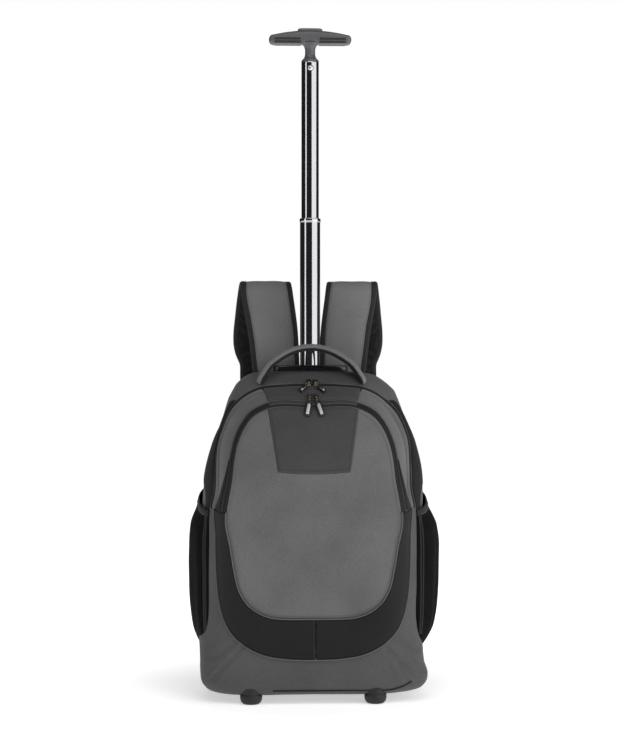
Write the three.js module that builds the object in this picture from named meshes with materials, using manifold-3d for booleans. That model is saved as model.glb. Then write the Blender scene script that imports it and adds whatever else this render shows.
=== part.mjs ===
// A wheeled backpack on a single telescoping pole, standing on two feet and two wheels.
// Millimetres, +X to the bag's right as seen from the front, +Y to the back, +Z up.
// Y is measured from the crown of the front pocket until the last step, which centres the bag.
import * as THREE from 'three';
import { mergeVertices } from 'three/addons/utils/BufferGeometryUtils.js';
import Module from 'manifold-3d';

const wasm = await Module();
wasm.setup();

// Bag sizes
const BAG_HALF_WIDTH = 173;
const BAG_DEPTH = 189;
const BAG_BOTTOM = 16;
const BAG_HEIGHT = 491;
const POCKET_PROUD = 26;
const BAG_WALL = 2.5;
const FRONT_SQUARENESS = 3;
const BACK_SQUARENESS = 6;
const RING_POINTS = 24;

// Front pocket sizes
const POCKET_SIDE_INSET = 22;
const POCKET_BOTTOM = 69;
const POCKET_TOP_DROP = 27;
const PANEL_SIDE_INSET = 19;
const PANEL_BOTTOM = 134;
const PANEL_TOP_DROP = 29;
const PANEL_LEAN = 33;
const PANEL_CROWN = 12;
const POCKET_WALL = 2;
const OUTLINE_POINTS = 30;
const OUTLINE_STEPS = 52;
const SIDE_LIMB_TOP = 297;

// Cloth trim sizes
const GAP = 0.3;
const CLOTH = 1.5;
const ZIP_THICKNESS = 2.2;
const SEAM = 0.6;
const SLIVER = 0.05;
const FRONT_ZIP_WIDTH = 9;
const MAIN_ZIP_WIDTH = 7;
const ZIP_MOUTH = 5;
const MOUTH_HALF_WIDTH = 70;
const PATCH_TOP_HALF = 70;
const PATCH_FOOT_HALF = 55;
const PATCH_TOP_DROP = 11;
const PATCH_HEIGHT = 88;
const PATCH_BOW = 3;
const PATCH_CORNER = 6;
const TOP_PANEL_HALF = 78;
const SIDE_BAND_BACK = 120;

// Side pocket sizes
const NET_WALL = 1.6;
const NET_INSET = 13;
const NET_BULGE = 36;
const NET_CENTRE_Y = 131;
const NET_HALF_DEPTH = 66;
const NET_BOTTOM = 80;
const NET_HEIGHT = 235;
const NET_FRONT_DIP = 14;
const NET_FOLDS = 6;
const NET_POINTS = 20;
const NET_FOLD_DEPTH = 1.6;
const BINDING_HEIGHT = 12;
const BINDING_THICKNESS = 1.4;

// Back and strap sizes
const PAD_SIDE_INSET = 51;
const PAD_BOTTOM = 100;
const PAD_TOP_DROP = 31;
const PAD_THICKNESS = 13;
const PAD_CORNER = 40;
const STRAP_WIDTH = 80;
const STRAP_THICKNESS = 14;
const STRAP_REACH = 168;
const STRAP_DROP = 26;
const STRAP_SPREAD = 88;
const STRAP_BACKSET = 62;
const LOCK_WIDTH = 34;
const LOCK_HEIGHT = 26;
const LOCK_THICKNESS = 5;
const LOCK_BAR = 4;
const STRAP_END_CLEAR = 1.2;
const WEBBING_WIDTH = 25;
const WEBBING_THICKNESS = 1.8;
const WEBBING_SIDE_INSET = 33;
const WEBBING_FOOT_Z = 96;

// Carry handle sizes
const CARRY_SPAN = 166;
const CARRY_DROP = 20;
const CARRY_RISE = 58;
const CARRY_WIDTH = 28;
const CARRY_THICKNESS = 11;
const CARRY_BACKSET = 26;

// Telescoping pole sizes
const POLE_INSET = 27;
const GUIDE_LIFT = 4;
const UPPER_TUBE_RADIUS = 14;
const LOWER_TUBE_RADIUS = 16.25;
const GUIDE_TUBE_RADIUS = 18.5;
const TUBE_WALL = 1.8;
const TUBE_CLEARANCE = 0.4;
const LOWER_TUBE_SHOWN = 246;
const UPPER_TUBE_SHOWN = 252;
const TUBE_OVERLAP = 55;
const TUBE_SIDES = 20;
const COLLAR_HEIGHT = 5;
const COLLAR_PROUD = 0.7;
const PORT_WIDTH = 120;
const PORT_DEPTH = 50;
const PORT_HEIGHT = 9.5;
const PORT_CORNER = 16;
const PORT_BEVEL = 1.5;
const GRIP_WIDTH = 133;
const NECK_HEIGHT = 28.5;
const GRIP_HEIGHT = 22.5;
const GRIP_END_DROP = 7;
const GRIP_DEPTH = 25;
const GRIP_ROUND = 5;
const END_STEPS = 4;
const NECK_RADIUS = 8.2;
const BUTTON_WIDTH = 40;
const BUTTON_DEPTH = 12;
const BUTTON_PROUD = 4;
const BUTTON_SUNK = 7;
const BUTTON_TRAVEL = 3;
const RIVET_RADIUS = 5;
const RIVET_HEIGHT = 1.6;
const RIVET_DROP = 11;

// Running gear sizes
const WHEEL_RADIUS = 36;
const WHEEL_WIDTH = 22;
const WHEEL_SIDE_INSET = 53;
const WHEEL_BACK_INSET = 11;
const WHEEL_ROUND = 4;
const HUB_SHARE = 0.6;
const HUB_SUNK = 3;
const WHEEL_SIDES = 20;
const AXLE_RADIUS = 4;
const HOUSING_CHEEK = 6;
const HOUSING_LENGTH = 64;
const HOUSING_PROUD = 7;
const HOUSING_BOTTOM = 10;
const HOUSING_TOP = 82;
const HOUSING_CORNER = 12;
const WELL_CLEARANCE = 3;
const FOOT_SIDE_INSET = 78;
const FOOT_Y = 46;
const FOOT_RADIUS = 17;

// Zip pull sizes
const SLIDER_WIDTH = 7;
const SLIDER_HEIGHT = 11;
const SLIDER_THICKNESS = 4;
const PULL_THICKNESS = 2.4;

// Bag sections from the floor up: shares of height, half width, and depth at front and back
const BAG_SECTIONS = [
  { z: 0.000, width: 0.763, front: 0.180, back: 0.920 },
  { z: 0.004, width: 0.879, front: 0.095, back: 0.960 },
  { z: 0.016, width: 0.948, front: 0.042, back: 0.987 },
  { z: 0.041, width: 0.988, front: 0.011, back: 0.997 },
  { z: 0.090, width: 1.000, front: 0.000, back: 1.000 },
  { z: 0.190, width: 1.000, front: 0.000, back: 1.000 },
  { z: 0.517, width: 1.000, front: 0.003, back: 1.000 },
  { z: 0.601, width: 0.997, front: 0.016, back: 1.000 },
  { z: 0.670, width: 0.983, front: 0.042, back: 1.000 },
  { z: 0.770, width: 0.919, front: 0.127, back: 1.000 },
  { z: 0.849, width: 0.827, front: 0.243, back: 1.000 },
  { z: 0.916, width: 0.734, front: 0.354, back: 1.000 },
  { z: 0.945, width: 0.688, front: 0.397, back: 1.000 },
  { z: 0.967, width: 0.647, front: 0.455, back: 0.997 },
  { z: 0.984, width: 0.601, front: 0.529, back: 0.990 },
  { z: 0.994, width: 0.532, front: 0.614, back: 0.963 },
  { z: 0.999, width: 0.393, front: 0.709, back: 0.910 },
];

// Half outline of the front pocket where it meets the bag: shares of its half width and height
const POCKET_OUTLINE = [
  { x: 0.000, z: 0.000 }, { x: 0.265, z: 0.003 }, { x: 0.530, z: 0.021 }, { x: 0.636, z: 0.038 },
  { x: 0.755, z: 0.068 }, { x: 0.841, z: 0.102 }, { x: 0.907, z: 0.151 }, { x: 0.950, z: 0.214 },
  { x: 0.977, z: 0.326 }, { x: 0.987, z: 0.477 }, { x: 1.000, z: 0.552 }, { x: 0.967, z: 0.611 },
  { x: 0.960, z: 0.718 }, { x: 0.957, z: 0.762 }, { x: 0.937, z: 0.810 }, { x: 0.891, z: 0.857 },
  { x: 0.815, z: 0.910 }, { x: 0.715, z: 0.951 }, { x: 0.580, z: 0.981 }, { x: 0.265, z: 0.998 },
  { x: 0.000, z: 1.000 },
];

// Half outline of the pale front panel: shares of its half width and height
const PANEL_OUTLINE = [
  { x: 0.000, z: 0.000 }, { x: 0.470, z: 0.003 }, { x: 0.621, z: 0.028 }, { x: 0.765, z: 0.076 },
  { x: 0.845, z: 0.129 }, { x: 0.906, z: 0.230 }, { x: 0.945, z: 0.334 }, { x: 1.000, z: 0.476 },
  { x: 0.973, z: 0.562 }, { x: 0.936, z: 0.647 }, { x: 0.909, z: 0.748 }, { x: 0.871, z: 0.826 },
  { x: 0.792, z: 0.905 }, { x: 0.697, z: 0.956 }, { x: 0.530, z: 0.994 }, { x: 0.000, z: 1.000 },
];

// How far the front panel leans back from its crown: shares of panel height and of the lean
const PANEL_PROFILE = [
  { z: 0.00, lean: 0.03 }, { z: 0.21, lean: 0.00 }, { z: 0.49, lean: 0.00 }, { z: 0.65, lean: 0.12 },
  { z: 0.78, lean: 0.30 }, { z: 0.90, lean: 0.61 }, { z: 1.00, lean: 1.00 },
];

// Outer edge of the dark side band: shares of the bag's half width and height.
// Past the half width the band wraps round the bag's side.
const SIDE_BAND_EDGE = [
  { x: 0.958, z: 0.590 }, { x: 0.962, z: 0.617 }, { x: 0.985, z: 0.658 }, { x: 1.060, z: 0.690 },
  { x: 1.060, z: 0.908 },
];

// Side pocket from its foot up: shares of its height, bulge and depth
const NET_SECTIONS = [
  { z: 0.00, bulge: 0.38, depth: 0.72 }, { z: 0.06, bulge: 0.58, depth: 0.88 },
  { z: 0.15, bulge: 0.80, depth: 0.97 }, { z: 0.30, bulge: 0.95, depth: 1.00 },
  { z: 0.50, bulge: 1.00, depth: 1.00 }, { z: 0.68, bulge: 0.96, depth: 1.00 },
  { z: 0.82, bulge: 0.84, depth: 1.00 }, { z: 0.94, bulge: 0.62, depth: 1.00 },
  { z: 1.10, bulge: 0.40, depth: 1.00 },
];

// Shoulder strap from its seam over the top and down: shares of spread, backset, reach, width, thickness
const STRAP_PATH = [
  { x: 0.62, y: 0.000, z: 0.00, width: 0.86, thick: 0.80 },
  { x: 0.64, y: 0.016, z: 0.17, width: 0.90, thick: 1.00 },
  { x: 0.70, y: 0.090, z: 0.53, width: 0.96, thick: 1.00 },
  { x: 0.80, y: 0.190, z: 0.86, width: 1.00, thick: 1.00 },
  { x: 0.83, y: 0.300, z: 0.97, width: 1.00, thick: 0.95 },
  { x: 0.85, y: 0.470, z: 1.00, width: 1.00, thick: 0.90 },
  { x: 0.88, y: 0.650, z: 0.94, width: 1.00, thick: 0.95 },
  { x: 0.95, y: 0.860, z: 0.72, width: 0.97, thick: 1.00 },
  { x: 1.00, y: 1.000, z: 0.44, width: 0.95, thick: 1.00 },
  { x: 0.96, y: 0.900, z: 0.25, width: 0.90, thick: 0.86 },
  { x: 0.90, y: 0.780, z: 0.05, width: 0.88, thick: 0.95 },
  { x: 0.84, y: 0.690, z: -0.25, width: 0.82, thick: 0.95 },
  { x: 0.82, y: 0.620, z: -0.49, width: 0.66, thick: 0.70 },
];

// Carry handle from foot to foot: shares of half span, backset and rise
const CARRY_PATH = [
  { x: -1.00, y: 0.00, z: 0.00 }, { x: -0.94, y: 0.12, z: 0.22 }, { x: -0.80, y: 0.45, z: 0.56 },
  { x: -0.50, y: 0.86, z: 0.90 }, { x: -0.20, y: 0.98, z: 0.99 }, { x: 0.20, y: 0.98, z: 0.99 },
  { x: 0.50, y: 0.86, z: 0.90 }, { x: 0.80, y: 0.45, z: 0.56 }, { x: 0.94, y: 0.12, z: 0.22 },
  { x: 1.00, y: 0.00, z: 0.00 },
];

// Neck of the grip: share of the way from its own radius to the tube's, and share of its height
const NECK_PROFILE = [
  { radius: 1.00, z: 0.00 }, { radius: 1.00, z: 0.10 }, { radius: 0.22, z: 0.28 }, { radius: 0.00, z: 0.42 },
  { radius: 0.00, z: 0.75 }, { radius: 0.28, z: 0.90 }, { radius: 0.57, z: 1.14 },
];

// The four zip pulls: side, zip, rise above the zip, lean outwards in degrees, tab width and length
const PULLS = [
  { name: 'main_zip_left', side: -1, zip: 'main', rise: 3, lean: 50, width: 6, length: 13 },
  { name: 'main_zip_right', side: 1, zip: 'main', rise: 3, lean: 50, width: 6, length: 14 },
  { name: 'front_zip_left', side: -1, zip: 'front', rise: 9, lean: 6, width: 9, length: 22 },
  { name: 'front_zip_right', side: 1, zip: 'front', rise: 9, lean: 16, width: 9, length: 23 },
];

// Sizes worked out from the ones above
const BAG_TOP = BAG_BOTTOM + BAG_HEIGHT;
const BACK_Y = POCKET_PROUD + BAG_DEPTH;
const POCKET_HALF_WIDTH = BAG_HALF_WIDTH - POCKET_SIDE_INSET;
const POCKET_HEIGHT = BAG_TOP - POCKET_TOP_DROP - POCKET_BOTTOM;
const PANEL_HALF_WIDTH = POCKET_HALF_WIDTH - PANEL_SIDE_INSET;
const PANEL_HEIGHT = POCKET_BOTTOM + POCKET_HEIGHT - PANEL_TOP_DROP - PANEL_BOTTOM;
const PATCH_TOP = PANEL_BOTTOM + PANEL_HEIGHT - PATCH_TOP_DROP;
const PATCH_FOOT = PATCH_TOP - PATCH_HEIGHT;
const NET_CENTRE_X = BAG_HALF_WIDTH - NET_INSET;
const PAD_HALF_WIDTH = BAG_HALF_WIDTH - PAD_SIDE_INSET;
const PAD_TOP = BAG_TOP - PAD_TOP_DROP;
const STRAP_FOOT = BAG_TOP - STRAP_DROP;
const WEBBING_FOOT_X = BAG_HALF_WIDTH - WEBBING_SIDE_INSET;
const CARRY_FOOT_Z = BAG_TOP - CARRY_DROP;
const POLE_Y = BACK_Y - POLE_INSET;
const LOWER_TUBE_TOP = BAG_TOP + LOWER_TUBE_SHOWN;
const TUBE_TOP = LOWER_TUBE_TOP + UPPER_TUBE_SHOWN;
const GRIP_BOTTOM = TUBE_TOP + NECK_HEIGHT;
const WHEEL_X = BAG_HALF_WIDTH - WHEEL_SIDE_INSET;
const WHEEL_Y = BACK_Y - WHEEL_BACK_INSET;
const HOUSING_BACK = BACK_Y + HOUSING_PROUD;
const HOUSING_FRONT = HOUSING_BACK - HOUSING_LENGTH;
const FOOT_X = BAG_HALF_WIDTH - FOOT_SIDE_INSET;
const GUIDE_INNER = GUIDE_TUBE_RADIUS - TUBE_WALL;
const GUIDE_TOP = BAG_TOP + PORT_HEIGHT + GAP;
const POCKET_CENTRE_Z = POCKET_BOTTOM + POCKET_HEIGHT / 2;
const GRIP_TOP = GRIP_BOTTOM + GRIP_HEIGHT;

// Materials
const finish = (color, roughness, metalness = 0) =>
  new THREE.MeshStandardMaterial({ color, roughness, metalness });
const GREY_CLOTH = finish(0x555555, 0.9);
const PALE_CLOTH = finish(0x6e6e6e, 0.9);
const DARK_CLOTH = finish(0x474747, 0.9);
const BLACK_CLOTH = finish(0x2b2b2b, 0.85);
const NET = finish(0x161616, 0.9);
const BLACK_TRIM = finish(0x1e1e1e, 0.7);
const SATIN_PLASTIC = finish(0x5a5a5a, 0.45);
const BLACK_PLASTIC = finish(0x1a1a1a, 0.5);
const BLACK_CHROME = finish(0x3a3a3c, 0.15, 1);
const GUNMETAL = finish(0x77736c, 0.35, 1);
const RUBBER = finish(0x1c1c1c, 0.8);

// A closed geometry of merged corners as a solid for joining and cutting
function solidOf(geometry) {
  const bare = geometry.clone();
  bare.deleteAttribute('normal');
  bare.deleteAttribute('uv');
  const merged = mergeVertices(bare, 1e-4);
  return new wasm.Manifold(new wasm.Mesh({
    numProp: 3,
    vertProperties: new Float32Array(merged.attributes.position.array),
    triVerts: new Uint32Array(merged.index.array),
  }));
}

// A solid as a geometry that a mesh can show, without edges shorter than a sliver
function geometryOf(solid) {
  const mesh = solid.simplify(SLIVER).getMesh();
  const geometry = new THREE.BufferGeometry();
  geometry.setAttribute('position', new THREE.BufferAttribute(mesh.vertProperties, 3));
  geometry.setIndex(new THREE.BufferAttribute(mesh.triVerts, 1));
  return geometry;
}

// A closed skin through rings of points, closed by one point at each end
function loft(start, rings, end) {
  const count = rings[0].length;
  const points = [start, ...rings.flat(), end];
  const last = points.length - 1;
  const faces = [];
  for (let i = 0; i < count; i++) {
    const next = (i + 1) % count;
    faces.push(0, 1 + next, 1 + i);
    for (let r = 0; r < rings.length - 1; r++) {
      const low = 1 + r * count;
      const high = low + count;
      faces.push(low + i, low + next, high + next, low + i, high + next, high + i);
    }
    faces.push(last - count + i, last - count + next, last);
  }
  const geometry = new THREE.BufferGeometry().setFromPoints(points);
  geometry.setIndex(faces);
  return geometry;
}

// The same skin moved out along its own normals, or in where the distance is negative
function grown(geometry, distance) {
  const moved = geometry.clone();
  moved.computeVertexNormals();
  const { position, normal } = moved.attributes;
  for (let i = 0; i < position.count; i++) {
    position.setXYZ(
      i,
      position.getX(i) + normal.getX(i) * distance,
      position.getY(i) + normal.getY(i) * distance,
      position.getZ(i) + normal.getZ(i) * distance,
    );
  }
  return solidOf(moved);
}

// A value read from a table between its rows
function readTable(rows, key, at, column) {
  const above = rows.findIndex((row) => row[key] > at);
  if (above === 0) return rows[0][column];
  if (above < 0) return rows[rows.length - 1][column];
  const low = rows[above - 1];
  const high = rows[above];
  const share = (at - low[key]) / (high[key] - low[key]);
  return low[column] + (high[column] - low[column]) * share;
}

// A flat outline of x and z points pushed along Y into a slab between two depths
function slab(outline, front, back) {
  const shape = new THREE.Shape(outline.map((p) => new THREE.Vector2(p.x, p.z)));
  const geometry = new THREE.ExtrudeGeometry(shape, { depth: back - front, bevelEnabled: false });
  return solidOf(geometry.rotateX(Math.PI / 2).translate(0, back, 0));
}

function boxSolid(width, depth, height, x, y, z) {
  return solidOf(new THREE.BoxGeometry(width, depth, height).translate(x, y, z));
}

// A round bar along Z, or along X where it is laid down
function rod(radius, length, sides, x, y, z, lying = false) {
  const geometry = new THREE.CylinderGeometry(radius, radius, length, sides).rotateX(Math.PI / 2);
  if (lying) geometry.rotateY(Math.PI / 2);
  return solidOf(geometry.translate(x, y, z));
}

// A lathe profile of radius and height pairs turned round the Z axis at a place
function turned(profile, sides, x, y) {
  const points = profile.map(([radius, height]) => new THREE.Vector2(radius, height));
  return solidOf(new THREE.LatheGeometry(points, sides).rotateX(Math.PI / 2).translate(x, y, 0));
}

// A rounded rectangle as a list of x and z points
function roundedRectangle(halfWidth, bottom, top, corner, steps = 4) {
  const points = [];
  const centres = [
    [halfWidth - corner, bottom + corner, -90], [halfWidth - corner, top - corner, 0],
    [corner - halfWidth, top - corner, 90], [corner - halfWidth, bottom + corner, 180],
  ];
  for (const [x, z, start] of centres) {
    for (let i = 0; i <= steps; i++) {
      const angle = THREE.MathUtils.degToRad(start + (90 * i) / steps);
      points.push({ x: x + corner * Math.cos(angle), z: z + corner * Math.sin(angle) });
    }
  }
  return points;
}

// A half outline of shares mirrored into one smooth closed outline in millimetres
function mirroredOutline(table, halfWidth, bottom, height) {
  const right = table.map((row) => new THREE.Vector3(row.x * halfWidth, 0, bottom + row.z * height));
  const left = right.slice(1, -1).reverse().map((p) => new THREE.Vector3(-p.x, 0, p.z));
  const curve = new THREE.CatmullRomCurve3([...right, ...left], true, 'centripetal');
  return curve.getSpacedPoints(OUTLINE_STEPS).slice(0, -1);
}

// The outline moved outwards in its own plane
function widened(outline, distance) {
  return outline.map((point, i) => {
    const before = outline.at(i - 1);
    const after = outline[(i + 1) % outline.length];
    const along = new THREE.Vector3().subVectors(after, before).normalize();
    return new THREE.Vector3(point.x + along.z * distance, 0, point.z - along.x * distance);
  });
}

// The unbroken run of an outline's points that pass a test, with their places in the list
function runOf(outline, keep) {
  const count = outline.length;
  const first = outline.findIndex((p, i) => keep(p) && !keep(outline.at(i - 1)));
  const places = [];
  for (let i = first; keep(outline[i % count]) && places.length < count; i++) places.push(i % count);
  return places;
}

// A closed strip between two distances outside an outline, over its points that pass a test
function stripAlong(outline, inner, outer, keep) {
  const places = runOf(outline, keep);
  const inside = widened(outline, inner);
  const outside = widened(outline, outer);
  return [...places.map((i) => outside[i]), ...places.reverse().map((i) => inside[i])];
}

// The distance from an outline's centre to its edge in one direction
function reachOf(outline, angle, centreZ) {
  const direction = { x: Math.cos(angle), z: Math.sin(angle) };
  let reach = 0;
  outline.forEach((a, i) => {
    const b = outline[(i + 1) % outline.length];
    const edge = { x: b.x - a.x, z: b.z - a.z };
    const cross = direction.x * edge.z - direction.z * edge.x;
    const start = { x: a.x, z: a.z - centreZ };
    const along = (start.x * edge.z - start.z * edge.x) / cross;
    const share = (start.x * direction.z - start.z * direction.x) / cross;
    if (share >= 0 && share <= 1 && along > reach) reach = along;
  });
  return reach;
}

// Main compartment sections
function bagSection(z) {
  const share = (z - BAG_BOTTOM) / BAG_HEIGHT;
  return {
    halfWidth: readTable(BAG_SECTIONS, 'z', share, 'width') * BAG_HALF_WIDTH,
    front: POCKET_PROUD + readTable(BAG_SECTIONS, 'z', share, 'front') * BAG_DEPTH,
    back: POCKET_PROUD + readTable(BAG_SECTIONS, 'z', share, 'back') * BAG_DEPTH,
  };
}

// The depth of the bag's cloth at a place, on its front or its back
function bagSurface(x, z, side = 'front') {
  const { halfWidth, front, back } = bagSection(z);
  const power = side === 'front' ? FRONT_SQUARENESS : BACK_SQUARENESS;
  const share = Math.min(Math.abs(x) / halfWidth, 1);
  const reach = ((back - front) / 2) * (1 - share ** power) ** (1 / power);
  return (front + back) / 2 + (side === 'front' ? -reach : reach);
}

function bagRing(row) {
  const halfWidth = row.width * BAG_HALF_WIDTH;
  const centre = POCKET_PROUD + ((row.front + row.back) / 2) * BAG_DEPTH;
  const halfDepth = ((row.back - row.front) / 2) * BAG_DEPTH;
  return Array.from({ length: RING_POINTS }, (_, i) => {
    const angle = (2 * Math.PI * i) / RING_POINTS;
    const power = 2 / (Math.sin(angle) < 0 ? FRONT_SQUARENESS : BACK_SQUARENESS);
    const x = halfWidth * Math.sign(Math.cos(angle)) * Math.abs(Math.cos(angle)) ** power;
    const y = centre + halfDepth * Math.sign(Math.sin(angle)) * Math.abs(Math.sin(angle)) ** power;
    return new THREE.Vector3(x, y, BAG_BOTTOM + row.z * BAG_HEIGHT);
  });
}

const bagMiddle = (row) => POCKET_PROUD + ((row.front + row.back) / 2) * BAG_DEPTH;
const bagSkin = loft(
  new THREE.Vector3(0, bagMiddle(BAG_SECTIONS[0]), BAG_BOTTOM),
  BAG_SECTIONS.map(bagRing),
  new THREE.Vector3(0, bagMiddle(BAG_SECTIONS.at(-1)), BAG_TOP),
);
const pocketOutline = mirroredOutline(POCKET_OUTLINE, POCKET_HALF_WIDTH, POCKET_BOTTOM, POCKET_HEIGHT);
const panelOutline = mirroredOutline(PANEL_OUTLINE, PANEL_HALF_WIDTH, PANEL_BOTTOM, PANEL_HEIGHT);
const bagClear = grown(bagSkin, GAP);

function housingBlock(side, spare) {
  const outline = roundedRectangle(
    (HOUSING_BACK - HOUSING_FRONT) / 2 + spare,
    HOUSING_BOTTOM - spare,
    HOUSING_TOP + spare,
    HOUSING_CORNER,
  );
  const width = WHEEL_WIDTH + 2 * (WELL_CLEARANCE + HOUSING_CHEEK + spare);
  const shape = new THREE.Shape(outline.map((p) => new THREE.Vector2(p.x, p.z)));
  const geometry = new THREE.ExtrudeGeometry(shape, { depth: width, bevelEnabled: false });
  geometry.rotateX(Math.PI / 2).rotateZ(Math.PI / 2);
  const middle = (HOUSING_FRONT + HOUSING_BACK) / 2;
  return solidOf(geometry.translate(side * WHEEL_X - width / 2, middle, 0));
}

function mainCompartment() {
  const mouth = stripAlong(
    pocketOutline,
    MAIN_ZIP_WIDTH / 2 + SEAM - ZIP_MOUTH / 2,
    MAIN_ZIP_WIDTH / 2 + SEAM + ZIP_MOUTH / 2,
    (p) => p.z > POCKET_CENTRE_Z && Math.abs(p.x) < MOUTH_HALF_WIDTH,
  );
  const guideHole = rod(GUIDE_TUBE_RADIUS + GAP, BAG_WALL * 8, TUBE_SIDES, 0, POLE_Y, BAG_TOP);
  return solidOf(bagSkin)
    .subtract(grown(bagSkin, -BAG_WALL))
    .subtract(slab(mouth, 0, POLE_Y - GUIDE_TUBE_RADIUS - GAP))
    .subtract(guideHole)
    .subtract(housingBlock(-1, GAP))
    .subtract(housingBlock(1, GAP));
}

// Front pocket: a domed dish, open at the back against the bag
function panelDepth(x, z) {
  const share = (z - PANEL_BOTTOM) / PANEL_HEIGHT;
  const angle = Math.atan2(z - POCKET_CENTRE_Z, x);
  const radial = Math.hypot(x, z - POCKET_CENTRE_Z) / reachOf(panelOutline, angle, POCKET_CENTRE_Z);
  return PANEL_LEAN * readTable(PANEL_PROFILE, 'z', share, 'lean') + PANEL_CROWN * radial ** 4;
}

function pocketSkin() {
  const angles = Array.from({ length: OUTLINE_POINTS }, (_, i) => (2 * Math.PI * i) / OUTLINE_POINTS);
  const ringAt = (share, outerShare, depthOf) => angles.map((angle) => {
    const inner = reachOf(panelOutline, angle, POCKET_CENTRE_Z);
    const outer = reachOf(pocketOutline, angle, POCKET_CENTRE_Z);
    const reach = (inner + (outer - inner) * outerShare) * share;
    const x = reach * Math.cos(angle);
    const z = POCKET_CENTRE_Z + reach * Math.sin(angle);
    return new THREE.Vector3(x, depthOf(x, z), z);
  });
  const edgeDepth = (share) => (x, z) => {
    const angle = Math.atan2(z - POCKET_CENTRE_Z, x);
    const inner = reachOf(panelOutline, angle, POCKET_CENTRE_Z);
    const outer = reachOf(pocketOutline, angle, POCKET_CENTRE_Z);
    const onPanel = panelDepth(inner * Math.cos(angle), POCKET_CENTRE_Z + inner * Math.sin(angle));
    const onBag = bagSurface(outer * Math.cos(angle), POCKET_CENTRE_Z + outer * Math.sin(angle));
    return onPanel + (onBag - onPanel) * share;
  };
  const rings = [
    ringAt(1, 1.00, (x, z) => edgeDepth(1)(x, z) + POCKET_PROUD),
    ringAt(1, 1.00, edgeDepth(1)),
    ringAt(1, 0.70, edgeDepth(0.52)),
    ringAt(1, 0.35, edgeDepth(0.20)),
    ringAt(1, 0.08, edgeDepth(0.03)),
    ringAt(0.92, 0, panelDepth),
    ringAt(0.70, 0, panelDepth),
    ringAt(0.38, 0, panelDepth),
  ];
  const back = new THREE.Vector3(0, POCKET_PROUD * 2, POCKET_CENTRE_Z);
  return loft(back, rings, new THREE.Vector3(0, 0, POCKET_CENTRE_Z));
}

const pocketDome = pocketSkin();
const bodyDepth = POLE_Y - GUIDE_TUBE_RADIUS;

function frontPocket() {
  return solidOf(pocketDome).subtract(grown(pocketDome, -POCKET_WALL)).subtract(bagClear);
}

// A flat trim with the given outline that lies on the bag, or on its front pocket
function trimOn(skin, outline, thickness, back = bodyDepth) {
  const layer = grown(skin, GAP + thickness).subtract(grown(skin, GAP));
  return layer.intersect(slab(outline, -POCKET_PROUD, back));
}

function pocketTrim(outline, thickness) {
  return trimOn(pocketDome, outline, thickness).subtract(bagClear);
}

function lowerPanel() {
  const below = (p) => p.z < SIDE_LIMB_TOP;
  const outside = runOf(pocketOutline, below).map((i) => pocketOutline[i]);
  const inside = widened(panelOutline, SEAM);
  const around = runOf(inside, below).map((i) => inside[i]);
  return pocketTrim([...outside, ...around.reverse()], CLOTH);
}

function frontZip() {
  const above = (p) => p.z > SIDE_LIMB_TOP + SEAM;
  const strip = stripAlong(panelOutline, SEAM, SEAM + FRONT_ZIP_WIDTH, above);
  return pocketTrim(strip, ZIP_THICKNESS);
}

function mainZip() {
  const above = (p) => p.z > SIDE_LIMB_TOP + SEAM;
  const strip = stripAlong(pocketOutline, SEAM, SEAM + MAIN_ZIP_WIDTH, above);
  return trimOn(bagSkin, strip, ZIP_THICKNESS)
    .subtract(grown(pocketDome, GAP))
    .subtract(netClear(-1))
    .subtract(netClear(1));
}

function topPanelFront() {
  const near = (p) => p.z > POCKET_CENTRE_Z && Math.abs(p.x) < TOP_PANEL_HALF;
  const low = widened(panelOutline, 2 * SEAM + FRONT_ZIP_WIDTH);
  const high = widened(pocketOutline, -SEAM);
  const lower = runOf(low, near).map((i) => low[i]);
  const upper = runOf(high, near).map((i) => high[i]);
  return pocketTrim([...lower, ...upper.reverse()], CLOTH);
}

function topPanelRear() {
  const near = (p) => p.z > POCKET_CENTRE_Z && Math.abs(p.x) < TOP_PANEL_HALF;
  const low = widened(pocketOutline, 2 * SEAM + MAIN_ZIP_WIDTH);
  const lower = runOf(low, near).map((i) => low[i]);
  const high = BAG_TOP + ZIP_THICKNESS;
  const outline = [...lower, { x: lower.at(-1).x, z: high }, { x: lower[0].x, z: high }];
  const front = POLE_Y - PORT_DEPTH / 2 - SEAM;
  const behind = boxSolid(PORT_WIDTH * 3, PORT_DEPTH * 2, BAG_HEIGHT, 0, front + PORT_DEPTH, BAG_TOP);
  return trimOn(bagSkin, outline, CLOTH).subtract(behind);
}

function trapezoidPatch() {
  const outline = [
    { x: -PATCH_FOOT_HALF, z: PATCH_FOOT + PATCH_BOW }, { x: 0, z: PATCH_FOOT },
    { x: PATCH_FOOT_HALF, z: PATCH_FOOT + PATCH_BOW }, { x: PATCH_TOP_HALF, z: PATCH_TOP },
    { x: PATCH_TOP_HALF - PATCH_CORNER, z: PATCH_TOP + PATCH_CORNER },
    { x: PATCH_CORNER - PATCH_TOP_HALF, z: PATCH_TOP + PATCH_CORNER }, { x: -PATCH_TOP_HALF, z: PATCH_TOP },
  ];
  return pocketTrim(outline, CLOTH);
}

function sideBand(side) {
  const outer = SIDE_BAND_EDGE.map((row) => (
    { x: row.x * BAG_HALF_WIDTH, z: BAG_BOTTOM + row.z * BAG_HEIGHT }));
  const above = (p) => p.x > 0 && p.z > outer[0].z && p.z < outer.at(-1).z;
  const inside = widened(pocketOutline, 2 * SEAM + MAIN_ZIP_WIDTH);
  const inner = runOf(inside, above).map((i) => inside[i]);
  const outline = [...outer, ...inner.reverse()].map((p) => ({ x: side * p.x, z: p.z }));
  return trimOn(bagSkin, outline, CLOTH, SIDE_BAND_BACK).subtract(netClear(side));
}

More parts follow.
